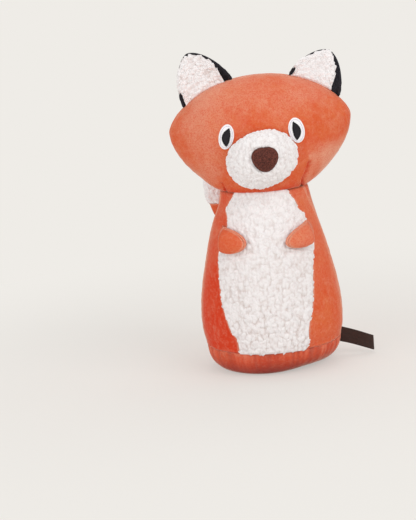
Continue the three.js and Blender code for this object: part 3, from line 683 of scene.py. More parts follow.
def base_panel():
    """The round underside, gathered into the seam round the body and worn rounder at the left."""
    piece, u, v = cloth_grid("base_panel", 420, 60)
    angle = -u * 2 * np.pi
    across, along = body_ring(np.zeros(1))
    wall = v < BASE_WALL_SHARE
    bend = clamped(v / BASE_WALL_SHARE) * np.pi / 2
    worn = REST_SHARE - 0.29 * hump(np.mod(angle + 1, 2 * np.pi) - 1 - WORN_ANGLE, WORN_WIDTH)
    inwards = worn * clamped((1 - v) / (1 - BASE_WALL_SHARE))
    share = np.where(wall, mix(worn, 1, np.cos(bend)), inwards)
    height = np.where(wall, BASE_SEAM_HEIGHT * (1 - np.sin(bend)), 0)
    points = points_at(across * share * np.sin(angle), -along * share * np.cos(angle), height)
    normal = normals_of(points, wraps=True)
    edge = to_edges(points, "low")
    around = points_at(GATHER_RADIUS * np.sin(angle), GATHER_RADIUS * np.cos(angle), 0 * angle)
    fine, coarse = ripple(around, 1.5, 31), ripple(around, 5.5, 32)
    gathers = fine * np.exp(-edge / 10) + 0.5 * coarse * np.exp(-edge / 14)
    tuck = hump((np.mod(angle, 2 * np.pi) - TUCK_ANGLE) * TUCK_RADIUS, 1.8) * np.exp(-edge / 9)
    rise = 0.55 * gathers - 1.6 * tuck - 0.2 * rolled(edge, 1.5)
    rise = rise * ease(points[..., 2] / 3) + 0.25 * ripple(points, 12, 33) * ease(points[..., 2] / 6)
    points = moved(points, normal, rise)
    # Painted shade on the underside, which faces down: darkest low on the wall and towards the front, in the
    # valleys of the gathers and in the tuck, and a little all over. Its deep share, 0.6, is painted shade as
    # well as the pile brushed down.
    low = ease((17 - points[..., 2]) / 15) * (0.55 + 0.45 * np.cos(angle))
    creased = clamped(0.62 * low - 0.33 * gathers + 0.14 + 0.5 * tuck)
    # Painted highlights on the ridges of the gathers and along the seam.
    pale = 0.3 * clamped(gathers) + 0.2 * np.exp(-edge / 6)
    thickened(lay(piece, points, parted=pale, deep=0.6, creased=creased), COVER)
    finished(piece, "base_panel", "torso", "orange_plush")


def torso():
    """The fleece, the plush panels round from it to the back, and the base."""
    belly_left, belly_right = seam(BELLY_SEAM_DEGREES, 1), seam(BELLY_SEAM_DEGREES, -1)
    side_left, side_right = seam(SIDE_SEAM_DEGREES, 1), seam(SIDE_SEAM_DEGREES, -1)
    round_the_back = seam(SIDE_SEAM_DEGREES, -1, turned=2 * np.pi)
    belly_panel()
    # The fox's left panel is painted paler, towards the key lamp; its right panel and the back get painted
    # shade, partly the pile brushed down.
    plush_panel("side_panel_left", (belly_left, side_left), 60, 170, 12, painted_light=0.06)
    plush_panel("side_panel_right", (side_right, belly_right), 60, 170, 13, deep=0.95)
    plush_panel("back_panel", (side_left, round_the_back), 220, 150, 14, deep=0.3)
    base_panel()


# Head

def head_ring(level):
    """The head's rings by level, from -1 at its rim and 0 at its cheeks to 1 at its crown.

    Gives half the width, half the depth, the height and the power of the ring's curve."""
    power = 2 - CHEEK_PINCH * (1 - level**2)
    filled = levelled(1 + np.minimum(level, 0))
    up = np.maximum(level, 0) * np.pi / 2
    raised = np.sin(up) ** (2 / CROWN_ROUNDNESS)
    domed = np.sqrt(clamped(1 - raised**FOREHEAD_ROUNDNESS))
    jaw_width = mix(RIM_RADIUS, HEAD_WIDTH / 2, filled**JAW_ROUNDNESS)
    jaw_depth = mix(RIM_RADIUS, HEAD_DEPTH / 2, filled**CHIN_ROUNDNESS)
    low = level <= 0
    across = np.where(low, jaw_width, HEAD_WIDTH / 2 * np.cos(up))
    along = np.where(low, jaw_depth, HEAD_DEPTH / 2 * domed)
    height = np.where(low, CHEEK_HEIGHT + level * JAW_HEIGHT, CHEEK_HEIGHT + CROWN_HEIGHT * raised)
    return across, along, height, power


def head_points(angle, level):
    """Points on the head's cover, an angle round from the front."""
    across, along, height, power = head_ring(level)
    def curve(value):
        return np.sign(value) * np.abs(value) ** (2 / power)
    return points_at(across * curve(np.sin(angle)), -along * curve(np.cos(angle)), height)


def settled(points):
    """Sets points of the head as it sits on the soft neck: pushed aside, rolled and turned a little."""
    x, y, z = points[..., 0], points[..., 1], points[..., 2] - SHOULDER_HEIGHT
    lift = ease((points[..., 2] - RIM_HEIGHT) / 18)
    turn, roll = math.radians(HEAD_TURN) * lift, math.radians(HEAD_ROLL) * lift
    x, y = x * np.cos(turn) - y * np.sin(turn), x * np.sin(turn) + y * np.cos(turn)
    x, z = x * np.cos(roll) - z * np.sin(roll), x * np.sin(roll) + z * np.cos(roll)
    return points_at(x + mix(NECK_ASIDE, HEAD_ASIDE, lift), y, z + SHOULDER_HEIGHT)


def head_level(height):
    """The level of the head's ring at a height."""
    low = (height - CHEEK_HEIGHT) / JAW_HEIGHT
    share = clamped((height - CHEEK_HEIGHT) / CROWN_HEIGHT)
    return np.where(height <= CHEEK_HEIGHT, low, np.arcsin(share ** (CROWN_ROUNDNESS / 2)) * 2 / np.pi)


def face_depth(x, z):
    """How far forward the face stands at a place."""
    across, along, _, power = head_ring(head_level(z))
    return along * clamped(1 - np.abs(x / across) ** power) ** (1 / power)


# Folds where the soft chin is pressed on the neck: points along each, its depth and how far it reaches.
CHIN_FOLDS = [
    ([
        (35.8, -33.8, 170.5), (34.2, -32.7, 165.5), (33.0, -31.9, 162.5), (31.7, -30.9, 159.4),
        (30.9, -29.1, 156.3), (31.0, -20.5, 150.2),
    ], 2.0, 1.3),
    ([(-35.2, -27.8, 159.3), (-32.7, -25.8, 154.8), (-30.8, -21.0, 150.2)], 1.5, 1.1),
]


def fold_depth(points, places, depth, reach):
    """The valley along a fold, deepest in its middle, and how far points lie to its right."""
    distance, ahead = np.full(points.shape[:-1], 99.0), np.zeros(points.shape[:-1])
    places = np.array(places)
    for first, last in zip(places[:-1], places[1:]):
        run = last - first
        share = clamped(((points - first) @ run) / (run @ run))
        gap = points - first - share[..., None] * run
        apart = np.linalg.norm(gap, axis=-1)
        ahead = np.where(apart < distance, gap[..., 0], ahead)
        distance = np.minimum(distance, apart)
    return depth * hump(distance, reach), np.sign(ahead) * distance


def painted_light_and_patches(points):
    """Where the head is painted paler, as if in light: painted light.

    This is on the forehead, on the cheek at its right and under the one at its left, with random paler
    patches."""
    x, z = points[..., 0], points[..., 2]
    forehead = 0.44 * ease((z - 196) / 36) * ease((74 - np.abs(x)) / 30)
    cheek = 0.43 * ease((-x - 20) / 26) * ease((z - 154) / 14) * mix(1, 0.4, ease((-x - 50) / 16))
    under = 1.5 * ease((x - 38) / 16) * ease((190 - z) / 20)
    patches = 0.2 * ripple(points, 15, 41) + 0.17 * ripple(points, 5, 42)
    return np.maximum(0, forehead + cheek + under + patches)


def head_panel(name, facing, seed):
    """The front or the back of the head, from its rim over the neck up to its crown."""
    piece, u, v = cloth_grid(name, 220, 170)
    level = mix(-1, 1, v**1.15)
    start = -facing * np.pi / 2
    points = head_points(start + u * np.pi, level)
    normal = normals_of(points)
    edge = to_edges(points, "left right")
    from_rim = to_edges(points, "low")
    crown = 1 - ease((v - 0.9) / 0.1)
    rise = plush_rise(points, edge, seed) * mix(0.15, 1, crown) * ease(from_rim / 5)
    lift = 1.1 * (1 - ease(from_rim / 9))
    # Painted highlights along the head's seams.
    pale = 0.7 * parted(edge) * crown * ease(from_rim / 6)
    # Painted shade near the rim, where the head meets the neck.
    deep_and_painted_shade = 0.6 * ease((10 - from_rim) / 8)
    if facing > 0:
        for fold in CHIN_FOLDS:
            valley, beside = fold_depth(points, *fold)
            rise = rise - valley
            if fold is CHIN_FOLDS[0]:
                rise = rise + 0.4 * hump(beside - 3, 2)
                # Painted highlight on the ridge beside the first fold.
                pale = pale + 0.55 * hump(beside - 5.5, 4.5) * ease(beside)
            # Painted shade in the fold's valley.
            deep_and_painted_shade = deep_and_painted_shade + valley / 2.5
    # Painted light on the forehead and cheeks, with random paler patches.
    pale = pale + painted_light_and_patches(points)
    points = moved(points, normal, rise) + lift[..., None] * (0, 0, 1)
    thickened(lay(piece, settled(points), parted=clamped(pale), deep=clamped(deep_and_painted_shade)), COVER)
    finished(piece, name, None, "orange_plush")
    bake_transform(piece)


# Patches on the face

def patch_points(centre, outline, tilt, u, v):
    """Places on the face of a patch: u runs round its outline and v from the middle out."""
    angle = u * 2 * np.pi
    reach = outline(angle) * v
    turn = angle + math.radians(tilt)
    return centre[0] + reach * np.cos(turn), centre[1] + reach * np.sin(turn)


def ellipse(width, height):
    """The outline of an ellipse: its reach from its middle, by angle."""
    return lambda angle: 1 / np.hypot(np.cos(angle) / (width / 2), np.sin(angle) / (height / 2))


MUZZLE_WIDTH = 52.8
MUZZLE_HEIGHT = 44.4
MUZZLE_DOME = 17.0
MUZZLE_CENTRE = (0.0, RIM_HEIGHT + 0.316 * FACE_HEIGHT)
MUZZLE_SKEW = math.radians(34)
MUZZLE_WALL = COVER + PILE
MUZZLE_ASIDE = -1.6


def muzzle_outline(angle):
    """An oval that is a little fuller up its left and down its right."""
    return ellipse(MUZZLE_WIDTH, MUZZLE_HEIGHT)(angle) * (1 + 0.055 * np.cos(2 * (angle - MUZZLE_SKEW)))


def muzzle_depth(x, z):
    """How far forward the muzzle's ground stands at a place."""
    dx, dz = x - MUZZLE_CENTRE[0], z - MUZZLE_CENTRE[1]
    share = np.hypot(dx, dz) / muzzle_outline(np.arctan2(dz, dx))
    return face_depth(x, z) + MUZZLE_DOME * np.sqrt(clamped(1 - share**2))


NOSE_WIDTH = 21.2
NOSE_HEIGHT = 20.0
NOSE_BLUNT = 0.06
NOSE_CENTRE = (0.6, MUZZLE_CENTRE[1] + 0.059 * MUZZLE_HEIGHT)


def nose_outline(angle):
    """An oval that is blunted towards a triangle, point down."""
    return ellipse(NOSE_WIDTH, NOSE_HEIGHT)(angle) * (1 + NOSE_BLUNT * np.cos(3 * (angle + np.pi / 2)))


def nose_share(x, z):
    """How far a place lies from the nose's middle: 1 on its outline."""
    dx, dz = x - NOSE_CENTRE[0], z - NOSE_CENTRE[1]
    return np.hypot(dx, dz) / nose_outline(np.arctan2(dz, dx))


def nose_depth(x, z):
    """The ground of the nose, sewn down into the fleece round its edge."""
    return muzzle_depth(x, z) + MUZZLE_WALL - 1.2 * nose_share(x, z) ** 4


def muzzle():
    """Curly fleece over a dome, pressed in under the nose."""
    piece, u, v = cloth_grid("muzzle_cover", 300, 120)
    x, z = patch_points(MUZZLE_CENTRE, muzzle_outline, 0, u, levelled(1 - v))
    points = points_at(x, -muzzle_depth(x, z) - GAP - COVER, z)
    normal = normals_of(points, wraps=True)
    edge = to_edges(points, "low")
    points, hollow = fleece_relief(points, normal, edge, 51, drop=1.9, ragged=1.25)
    pressed = 1.9 * (1 - ease((nose_share(x, z) - 0.86) / 0.22))
    points = moved(points, normal, -pressed) + (MUZZLE_ASIDE, 0, 0)
    # Painted shade in the hollows between curls, weaker low on the muzzle.
    painted_shade_weight = mix(0.15, 0.6, ease((z - MUZZLE_CENTRE[1] + 18) / 22))
    thickened(lay(piece, settled(points), hollow=painted_shade_weight * hollow), COVER)
    finished(piece, "muzzle_cover", "head", "white_fleece")


def stitched_patch(name, centre, outline, tilt, ground, slot, rise, border):
    """Embroidery that swells over its cloth, with a satin stitched border of this width."""
    piece, u, v = cloth_grid(name, 160, 36)
    share = 1 - v
    x, z = patch_points(centre, outline, tilt, u, share)
    reach = outline(u * 2 * np.pi)
    inwards = (1 - share) * reach
    swell = rise * np.sqrt(clamped(1 - share**6))
    groove = hump(inwards - border, 0.25)
    height = swell + 0.25 * hump(inwards - border / 2, border / 2) - 0.2 * groove
    points = points_at(x, -ground(x, z) - height, z)
    step = np.hypot(np.diff(x, axis=1, prepend=x[:, :1]), np.diff(z, axis=1, prepend=z[:, :1]))
    around = np.cumsum(step, axis=1)
    thread = np.where(inwards < border, around[:1] + 0 * around, x)
    thickened(lay(piece, settled(points), thread=thread, groove=groove), THREAD)
    finished(piece, name, "head", slot)


EYE_SPREAD = 0.188 * HEAD_WIDTH
EYE_LIFT = RIM_HEIGHT + 0.535 * FACE_HEIGHT
EYE_TILTS = {1: 8, -1: 16}
EYE_DROPS = {1: 0.9, -1: 0}
EYE_WIDTHS = {1: 13, -1: 12.2}
# The pupil's outline: its reach from its middle, by degrees round from the side away from the nose.
PUPIL_REACH = [
    (-180, 3.0), (-150, 3.5), (-130, 4.6), (-113, 6.1), (-100, 7.7), (-88, 6.7), (-72, 5.5), (-50, 4.4),
    (-14, 3.6), (18, 3.55), (46, 4.0), (78, 5.5), (90, 6.7), (98, 7.7), (108, 6.2), (120, 4.9), (146, 3.6),
    (180, 3.0),
]


def pupil_outline(side):
    def outline(angle):
        outwards = angle if side > 0 else np.pi - angle
        return through(PUPIL_REACH, np.degrees(np.arctan2(np.sin(outwards), np.cos(outwards))))
    return outline


def face():
    stitched_patch("nose_patch", NOSE_CENTRE, nose_outline, 0, nose_depth, "brown_thread", 1.8, 1.3)
    for side, name in SIDES.items():
        centre = (side * EYE_SPREAD, EYE_LIFT - EYE_DROPS[side])
        stitched_patch(
            f"eye_white_{name}", centre, ellipse(EYE_WIDTHS[side], 20.6), side * EYE_TILTS[side],
            lambda x, z: face_depth(x, z) + GAP, "white_thread", 0.9, 1.5)
        stitched_patch(
            f"eye_pupil_{name}", centre, pupil_outline(side), side * EYE_TILTS[side],
            lambda x, z: face_depth(x, z) + 2 * GAP + THREAD - 0.3, "black_thread", 0.7, 0.9)


# Ears

EAR_HEIGHTS = {1: 30.4, -1: 33.6}
# Degrees up the crown from the cheek of the inner and the outer end of an ear's root. Its slant towards the
# outside and its lean towards the back are degrees as well.
EAR_ROOTS = {1: (68, 27.3), -1: (75.5, 35.8)}
EAR_SLANTS = {1: 2, -1: 4}
EAR_LEANS = {1: 20, -1: 3}
EAR_SHADES = {1: 0.45, -1: 0.95}
EAR_CURL = 4.5
EAR_POWER = 1.6
# Two heights above the line that an ear is sewn along, for its seam and its fold; the places worked out from
# them are not used.
EAR_BEND = (1, 9)
EAR_MARGIN = -0.5
# How far the fleece stops short of each edge of an ear, from its root to its tip.
EAR_RIMS = {
    1: {
        "inner": [
            (0, 1.2), (0.1, 2), (0.2, 1.4), (0.28, -0.3), (0.56, -0.3), (0.64, 1.3), (0.8, 1.5), (1, 1.5),
        ],
        "outer": [
            (0, 9.6), (0.1, 9.4), (0.24, 9.2), (0.37, 8.6), (0.45, 6.4), (0.53, 7.4), (0.6, 5.4),
            (0.67, 5.2), (0.84, 4.2), (0.95, 2.4), (1, 1.5),
        ],
    },
    -1: {
        "inner": [
            (0, 8.2), (0.2, 7), (0.33, 5.4), (0.39, 2.8), (0.45, 4), (0.52, 1.9), (0.62, 2.2),
            (0.75, 2.2), (0.84, 0.2), (0.92, 1.3), (1, 1.2),
        ],
        "outer": [
            (0, 3.6), (0.15, 3.1), (0.24, 2.6), (0.33, 1.6), (0.4, -0.3), (0.84, -0.3), (0.9, 1.1), (1, 1.2),
        ],
    },
}


def crown_points(side, degrees):
    """Places on the seam over the crown, by degrees up from the cheek."""
    return head_points(np.full(np.shape(degrees), side * np.pi / 2), degrees / 90)


def ear_points(side, across, lift, depth, margin=0.0):
    """Points on an ear: across its root from -1, inside, to 1, outside, and up by a share of its outline."""
    inner, outer = EAR_ROOTS[side]
    ends = crown_points(side, np.array([inner, outer], float))[::side]
    axis = Vector(ends[1] - ends[0]).normalized()
    upwards = Vector((0, -1, 0)).cross(axis).normalized()
    upwards.rotate(Matrix.Rotation(-side * math.radians(EAR_SLANTS[side]), 3, "Y"))
    lean = Matrix.Rotation(-math.radians(EAR_LEANS[side]), 3, axis)
    upwards, forwards = lean @ upwards, lean @ Vector((0, -1, 0))
    root = crown_points(side, mix(inner, outer, (across + 1) / 2))
    height = EAR_HEIGHTS[side] * ear_arch(across)
    curl = EAR_CURL * across**2 * lift
    return (
        root + np.array(axis) * (side * across * margin)[..., None]
        + np.array(upwards) * mix(-0.9, height, lift)[..., None]
        + np.array(forwards) * (depth + curl)[..., None])


def ear_arch(across):
    """The height of an ear's outline, as a share of its tip's, across its root."""
    return clamped(1 - np.abs(across) ** EAR_POWER) ** (1 / EAR_POWER**1.2)


def ear_half_width(side):
    """Half the length of an ear's root."""
    ends = crown_points(side, np.array(EAR_ROOTS[side], float))
    return np.linalg.norm(ends[1] - ends[0]) / 2


def ear_seam(side, height):
    """The place this far above the middle of the straight line through an ear's root."""
    ends = crown_points(side, np.array(EAR_ROOTS[side], float))
    across = ends[1] - ends[0]
    upwards = side * np.array([-across[2], 0, across[0]]) / np.linalg.norm(across)
    return tuple(settled(ends.mean(axis=0) + upwards * height) * MM)


def both_faces(front):
    """A front's rows, and then the same rows back down for the ear's other face."""
    return np.concatenate([front, front[-2::-1]])


def ear_back(side):
    """The dark plush behind an ear's fleece, a little wider than it."""
    name, rows = f"ear_back_{SIDES[side]}", 60
    piece, u, v, face = pillow(name, 110, rows)
    across, lift = -np.cos(u * np.pi), levelled(v)
    middle = ear_points(side, across, lift, -0.7 + 0 * u, EAR_MARGIN)
    edge = both_faces(to_edges(middle[:rows + 1], "left right high"))
    normal = both_faces(normals_of(middle[:rows + 1])) * side
    swell = (1 - rolled(edge, 1.8)) * levelled(clamped(v / 0.06))
    tufts = 0.35 * ripple(middle, 1.5, 61) + 0.3 * ripple(middle, 5, 62)
    offset = face * swell * (1.3 + tufts)
    lay(piece, settled(moved(middle, normal, offset)), turn_over=side < 0, parted=0.0)
    return finished(piece, name, None, "black_plush")


def ear_fleece(side):
    """Curly fleece that leaves the dark back showing at some of an ear's edges."""
    name, rows = f"ear_front_{SIDES[side]}", 80
    piece, u, v, face = pillow(name, 130, rows)
    across, lift = -np.cos(u * np.pi), levelled(v)
    share = ear_arch(across)
    rims = EAR_RIMS[side]
    rim = np.where(across < 0, through(rims["inner"], share), -through(rims["outer"], share))
    inset = across + rim * ease(np.abs(across) / 0.3) / ear_half_width(side)
    top = through([(0, 0.0), (0.8, 0.7), (1, 1.3)], share)
    lift = lift * (1 - top / EAR_HEIGHTS[side])
    lift = lift * share / np.maximum(ear_arch(inset), 1e-6)
    middle = ear_points(side, inset, np.clip(lift, 0, 1.4), 0.9 + 0 * u)
    ground = middle[:rows + 1]
    from_edge = to_edges(ground, "left right high")
    edge, off = both_faces(from_edge), both_faces(outwards_of(ground, from_edge))
    normal = both_faces(normals_of(ground))
    normal = np.where(normal[..., 1:2] > 0, -normal, normal)
    swirl = swirls(middle, 2.4, 70)
    curls = knots(middle + 1.2 * swirl, 3.3, 75)
    strands = ripple(middle + swirl, 0.9, 77)
    full = (1 - rolled(edge, 3.0)) * levelled(clamped(v / 0.05))
    offset = np.where(face > 0, full * (1.5 + 1.5 * curls + 0.28 * strands), -0.5 * full)
    tufts = 0.4 + 1.3 * ripple(middle, 2.2, 78) + 0.9 * ripple(middle, 1.1, 79)
    tufts = tufts * np.exp(-edge / 1.6) * clamped(v / 0.1)
    points = moved(moved(middle, normal, offset), off, tufts)
    # Painted shade in the hollows between curls, by the ear's share.
    hollow = EAR_SHADES[side] * between_curls(curls, strands)
    lay(piece, settled(points), turn_over=side < 0, hollow=hollow)
    return finished(piece, name, None, "white_fleece")


def ear(side):
    """A dark plush back and a curly fleece front, baked in place on the head."""
    seamed, folded = (ear_seam(side, height) for height in EAR_BEND)
    for cloth in (ear_back(side), ear_fleece(side)):
        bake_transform(cloth)


# Paws

PAW_LENGTHS = {1: 27.2, -1: 26.2}
PAW_ROOT_LENGTHS = {1: 15.4, -1: 16.2}
PAW_ROOT_BOW = 1.8
PAW_ROOT_ANGLE = math.radians(51.5)
PAW_PADDING = 9.5
PAW_DROOPS = {1: 15.5, -1: 10}
PAW_TOPS = {1: 125, -1: 124}
# How far round its outline goes to each side of its tip: past 90 it is wider than its root.
PAW_ROUNDS = {1: math.radians(114), -1: math.radians(122)}
# Painted light over each paw, more on the fox's left, towards the key lamp.
PAW_PAINTED_LIGHT = {1: 0.36, -1: 0.08}
# How near its edge the seam between a paw's two panels runs, by share along it.
PAW_SEAM_SHARES = [(0, 1.0), (0.12, 1.0), (0.35, 0.97), (1, 0.96)]


def share_of(height):
    """The share of the body's height that this height is."""
    return (height - BASE_SEAM_HEIGHT) / (SHOULDER_HEIGHT - BASE_SEAM_HEIGHT)


def paw_reach(side, u, v):
    """How far a point of a paw lies from its root, as a share of the paw's length."""
    far = math.cos(PAW_ROUNDS[side])
    return (np.cos((2 * u - 1) * PAW_ROUNDS[side]) - far) / (1 - far) * v


def paw_points(side, u, v, rise):
    """Points on a paw: up its root, out to its edge and away from the belly."""
    across = 2 * u - 1
    reach = PAW_LENGTHS[side] * paw_reach(side, u, v) - PAW_ROOT_BOW * (1 - across**2) * (1 - v)
    spread = mix(across, np.sin(across * PAW_ROUNDS[side]) / math.sin(PAW_ROUNDS[side]), v)
    height = PAW_TOPS[side] - PAW_ROOT_LENGTHS[side] / 2 * (1 - spread)
    radius = body_ring(share_of(height))[0]
    height = height - reach * math.tan(math.radians(PAW_DROOPS[side]))
    across_body, along_body = body_ring(share_of(height))
    angle = side * (PAW_ROOT_ANGLE - reach / radius)
    return points_at(
        (across_body + rise) * np.sin(angle), -(along_body + rise) * np.cos(angle), height)


def paw_ground(side, u, v):
    """How far a paw's middle stands off the body, and how full it is: low and flat at its root."""
    from_root = ease(paw_reach(side, u, v) / 0.4)
    full = clamped(1 - v**3) ** 0.5 * clamped(1 - np.abs(2 * u - 1) ** 3.2) ** 0.5
    return mix(0.9, PILE + 2.4, from_root), full * mix(0.22, 1, from_root), from_root


def bends_at_its_root(piece):
    """Bakes a paw piece's place into its mesh."""
    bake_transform(piece)


def paw_panel(side, panel):
    """The front or the back of a paw, sewn together near the edge that faces up and out."""
    name = f"paw_{panel}_{SIDES[side]}"
    piece, u, w = cloth_grid(name, 80, 70)
    u = close_at_ends(u)
    seamed = np.arcsin(through(PAW_SEAM_SHARES, u)) / (np.pi / 2)
    w = w * seamed if panel == "front" else mix(seamed, 2, w)
    v = levelled(np.minimum(w, 2 - w))
    stand, full, from_root = paw_ground(side, u, v)
    points = paw_points(side, u, v, stand + PAW_PADDING * full * np.where(w < 1, 0.8, -0.2))
    normal = normals_of(points) * side
    edge = to_edges(points, "high" if panel == "front" else "low")
    relief = 0.3 * ripple(points, 9, 81) - 0.6 * rolled(edge, 0.9) + 0.3 * puckers(points, edge, 83)
    relief = (relief + 0.35 * hump(edge - 1.5, 0.8)) * clamped(full * 3) * from_root
    points = moved(points, normal, relief)
    # Painted highlight along the seam, and painted light over the paw, by side.
    pale = clamped(hump(edge - 0.9, 0.9) * clamped(v * 2) + PAW_PAINTED_LIGHT[side])
    thickened(lay(piece, points, turn_over=side < 0, parted=pale), 1.0)
    finished(piece, name, None, "orange_plush")
    bends_at_its_root(piece)


def paw_filling(side):
    """A thin wad of fibre, clear of the paw's seams and thinnest at its rim."""
    name = f"paw_stuffing_{SIDES[side]}"
    piece, u, v, face = pillow(name, 40, 30)
    u, v = mix(0.12, 0.88, close_at_ends(u)), mix(0.08, 0.86, levelled(v))
    within = clamped((0.86 - v) / 0.2) ** 0.5 * clamped((0.38 - np.abs(u - 0.5)) / 0.1) ** 0.5
    within = within * clamped((v - 0.08) / 0.1)
    stand, full, _ = paw_ground(side, u, v)
    tufts = 1 + 0.12 * ripple(paw_points(side, u, v, 4), 3, 87)
    thick = np.maximum(PAW_PADDING * full * 0.5 - 1.7, 0.2) * within * tufts
    points = paw_points(side, u, v, stand + PAW_PADDING * full * 0.3 - 0.3 + face * thick)
    lay(piece, points, turn_over=side < 0)
    finished(piece, name, None, "filling")
    bends_at_its_root(piece)


def paw(side):
    """Two panels of plush round a little filling."""
    for panel in ("front", "back"):
        paw_panel(side, panel)
    paw_filling(side)


# Tail

TAIL_LENGTH = 146.0
TAIL_WIDTH = 33.0
TAIL_THICKNESS = 22.0
TAIL_ROOT_HEIGHT = 36.0
TAIL_STAND_OFF = 20.0
TAIL_SWEEP = 34.0
TAIL_TIP_SHARE = 0.66
TAIL_FULLNESS_SHARES = [(0, 0.5), (0.15, 0.68), (0.35, 0.86), (0.6, 1), (0.8, 0.86), (0.93, 0.5), (1, 0)]
TAIL_SWEEP_SHARES = [(0, 0), (0.2, 0.1), (0.4, 0.42), (0.56, 0.78), (0.7, 0.96), (0.85, 1), (1, 0.9)]
TAIL_STAND_SHARES = [(0, -0.5), (0.1, 0.2), (0.25, 0.8), (0.5, 1.1), (0.75, 0.9), (1, 0.4)]


def tail_middle(share):
    """The middle of the tail, up from its root."""
    back = body_ring(np.full(1, share_of(TAIL_ROOT_HEIGHT)))[1][0]
    return points_at(
        -TAIL_SWEEP * through(TAIL_SWEEP_SHARES, share),
        back + TAIL_STAND_OFF * through(TAIL_STAND_SHARES, share),
        TAIL_ROOT_HEIGHT + TAIL_LENGTH * share)


def tail_points(angle, share):
    """Points round the tail, none of them inside the back that it is sewn to."""
    ahead = tail_middle(clamped(share + 0.01)) - tail_middle(clamped(share - 0.01))
    ahead = ahead / np.linalg.norm(ahead, axis=-1, keepdims=True)
    along = np.array([0, 1.0, 0]) - ahead * ahead[..., 1:2]
    along = along / np.linalg.norm(along, axis=-1, keepdims=True)
    across = np.cross(ahead, along)
    full = np.maximum(through(TAIL_FULLNESS_SHARES, share), 0)
    points = (
        tail_middle(share) + across * (TAIL_WIDTH / 2 * full * np.cos(angle))[..., None]
        + along * (TAIL_THICKNESS / 2 * full * np.sin(angle))[..., None])
    wide, deep = body_ring(share_of(points[..., 2]))
    wide, deep = wide + 0.4, deep + 0.4
    surface = deep * np.sqrt(clamped(1 - (points[..., 0] / wide) ** 2))
    points[..., 1] = np.maximum(points[..., 1], surface)
    return points


def tail_ground(name, columns, rows, low, high, fleecy):
    """A grid round the tail between two shares of its length, with how far it lies from the middle seam."""
    piece, u, v = cloth_grid(name, columns, rows)
    share = mix(low, high, levelled(v) if fleecy else v)
    points = tail_points(-u * 2 * np.pi, share)
    edge = to_edges(points, "low" if fleecy else "high")
    return piece, points, normals_of(points, wraps=True), edge, share


def tail_filling():
    """Fibre that keeps a little off the tail's covers."""
    piece, u, v = cloth_grid("tail_stuffing", 60, 80)
    points = tail_points(-u * 2 * np.pi, mix(0.15, 0.96, close_at_ends(v)))
    middle = points[:, :-1].mean(axis=1, keepdims=True)
    sunk = COVER + 1.2 + 0.6 * ripple(points, 6, 151)
    drawn_in = np.clip(1 - sunk / np.linalg.norm(points - middle, axis=-1), 0.02, 1)
    reach = drawn_in * clamped(1 - (2 * v - 1) ** 8) ** 0.5
    lay(piece, middle + (points - middle) * reach[..., None])
    finished(piece, "tail_stuffing", "tail", "filling")


def tail():
    """A plush cover and a fleece tip, sewn together round the tail, and their filling."""
    piece, points, normal, edge, share = tail_ground("tail_cover", 90, 90, 0.0, TAIL_TIP_SHARE, fleecy=False)
    clear = ease((share - 0.06) / 0.1)
    points = moved(points, normal, plush_rise(points, edge, 95) * clear)
    # Painted highlight along the seam.
    thickened(lay(piece, points, parted=parted(edge)), COVER)
    finished(piece, "tail_cover", "tail", "orange_plush")

    piece, points, normal, edge, _ = tail_ground("tail_tip", 170, 150, TAIL_TIP_SHARE, 1.0, fleecy=True)
    points, hollow = fleece_relief(points, normal, edge, 91)
    # Faint painted shade in the hollows between curls.
    thickened(lay(piece, points, hollow=0.06 * hollow), COVER)
    finished(piece, "tail_tip", "tail", "white_fleece")

    tail_filling()


# Ribbon in the side seam

RIBBON_LENGTH = 27.0
RIBBON_WIDTH = 12.5
RIBBON_FOLD = 0.75
RIBBON_SEAT = (56.911, 7.196, 18.0)
RIBBON_DROOP = 20


def label():
    """A ribbon folded back on itself, sewn in by both ends, bare."""
    piece, u, v = cloth_grid("woven_label", 26, 120)
    run = RIBBON_LENGTH - RIBBON_FOLD
    whole = 2 * run + np.pi * RIBBON_FOLD
    walked = v * whole
    bend = np.clip((walked - run) / RIBBON_FOLD, 0, np.pi)
    out = np.where(bend < np.pi, run + RIBBON_FOLD * np.sin(bend), whole - walked)
    out = np.where(walked < run, walked, out)
    depth = -RIBBON_FOLD * np.cos(bend)
    sag = math.tan(math.radians(RIBBON_DROOP)) * (out + 0.006 * out**2 - 0.006 * RIBBON_LENGTH * out)
    width = (u - 0.5) * RIBBON_WIDTH
    pinched = np.clip(-width - 1, 0, 9) * 0.2 * np.exp(-out / 5)
    wave = 0.5 * np.sin(out / 4.2) * out / RIBBON_LENGTH + 0.06 * width * np.sin(out / 7)
    seat_x, seat_y, seat_z = RIBBON_SEAT
    points = points_at(seat_x - pinched + out - 0.3, seat_y + depth + wave, seat_z + width - sag)
    thickened(lay(piece, points), 0.5)
    finished(piece, "woven_label", "label", "ribbon")


# Fillings and squeaker

def filling(name, body, seed, shift=None):
    """Loose fibre in the shape that the covers press it into."""
    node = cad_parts[name]
    bpy.ops.object.select_all(action="DESELECT")
    piece = added(f"fibre_{name}", node.data.copy())
    bpy.context.view_layer.objects.active = piece
    piece.select_set(True)
    closed(piece, 0.02)
    remesh = piece.modifiers.new("fibres", "REMESH")
    remesh.mode = "VOXEL"
    remesh.voxel_size = 1.8 * MM
    bpy.ops.object.modifier_apply(modifier=remesh.name)
    places, outward = corners(piece, "co") / MM, corners(piece, "normal")
    tufts = knots(places + 1.5 * ripple(places, 4, seed)[:, None], 6, seed + 1)
    sunk = 0.9 + 0.5 * ripple(places, 14, seed + 2) - 0.8 * tufts + 0.25 * ripple(places, 1.6, seed + 3)
    places = places - outward * np.maximum(sunk, 0.2)[:, None]
    if shift:
        places = shift(places)
    piece.data.vertices.foreach_set("co", (places * MM).ravel())
    piece.data.update()
    bpy.ops.object.shade_smooth()
    finished(piece, name, body, "filling")


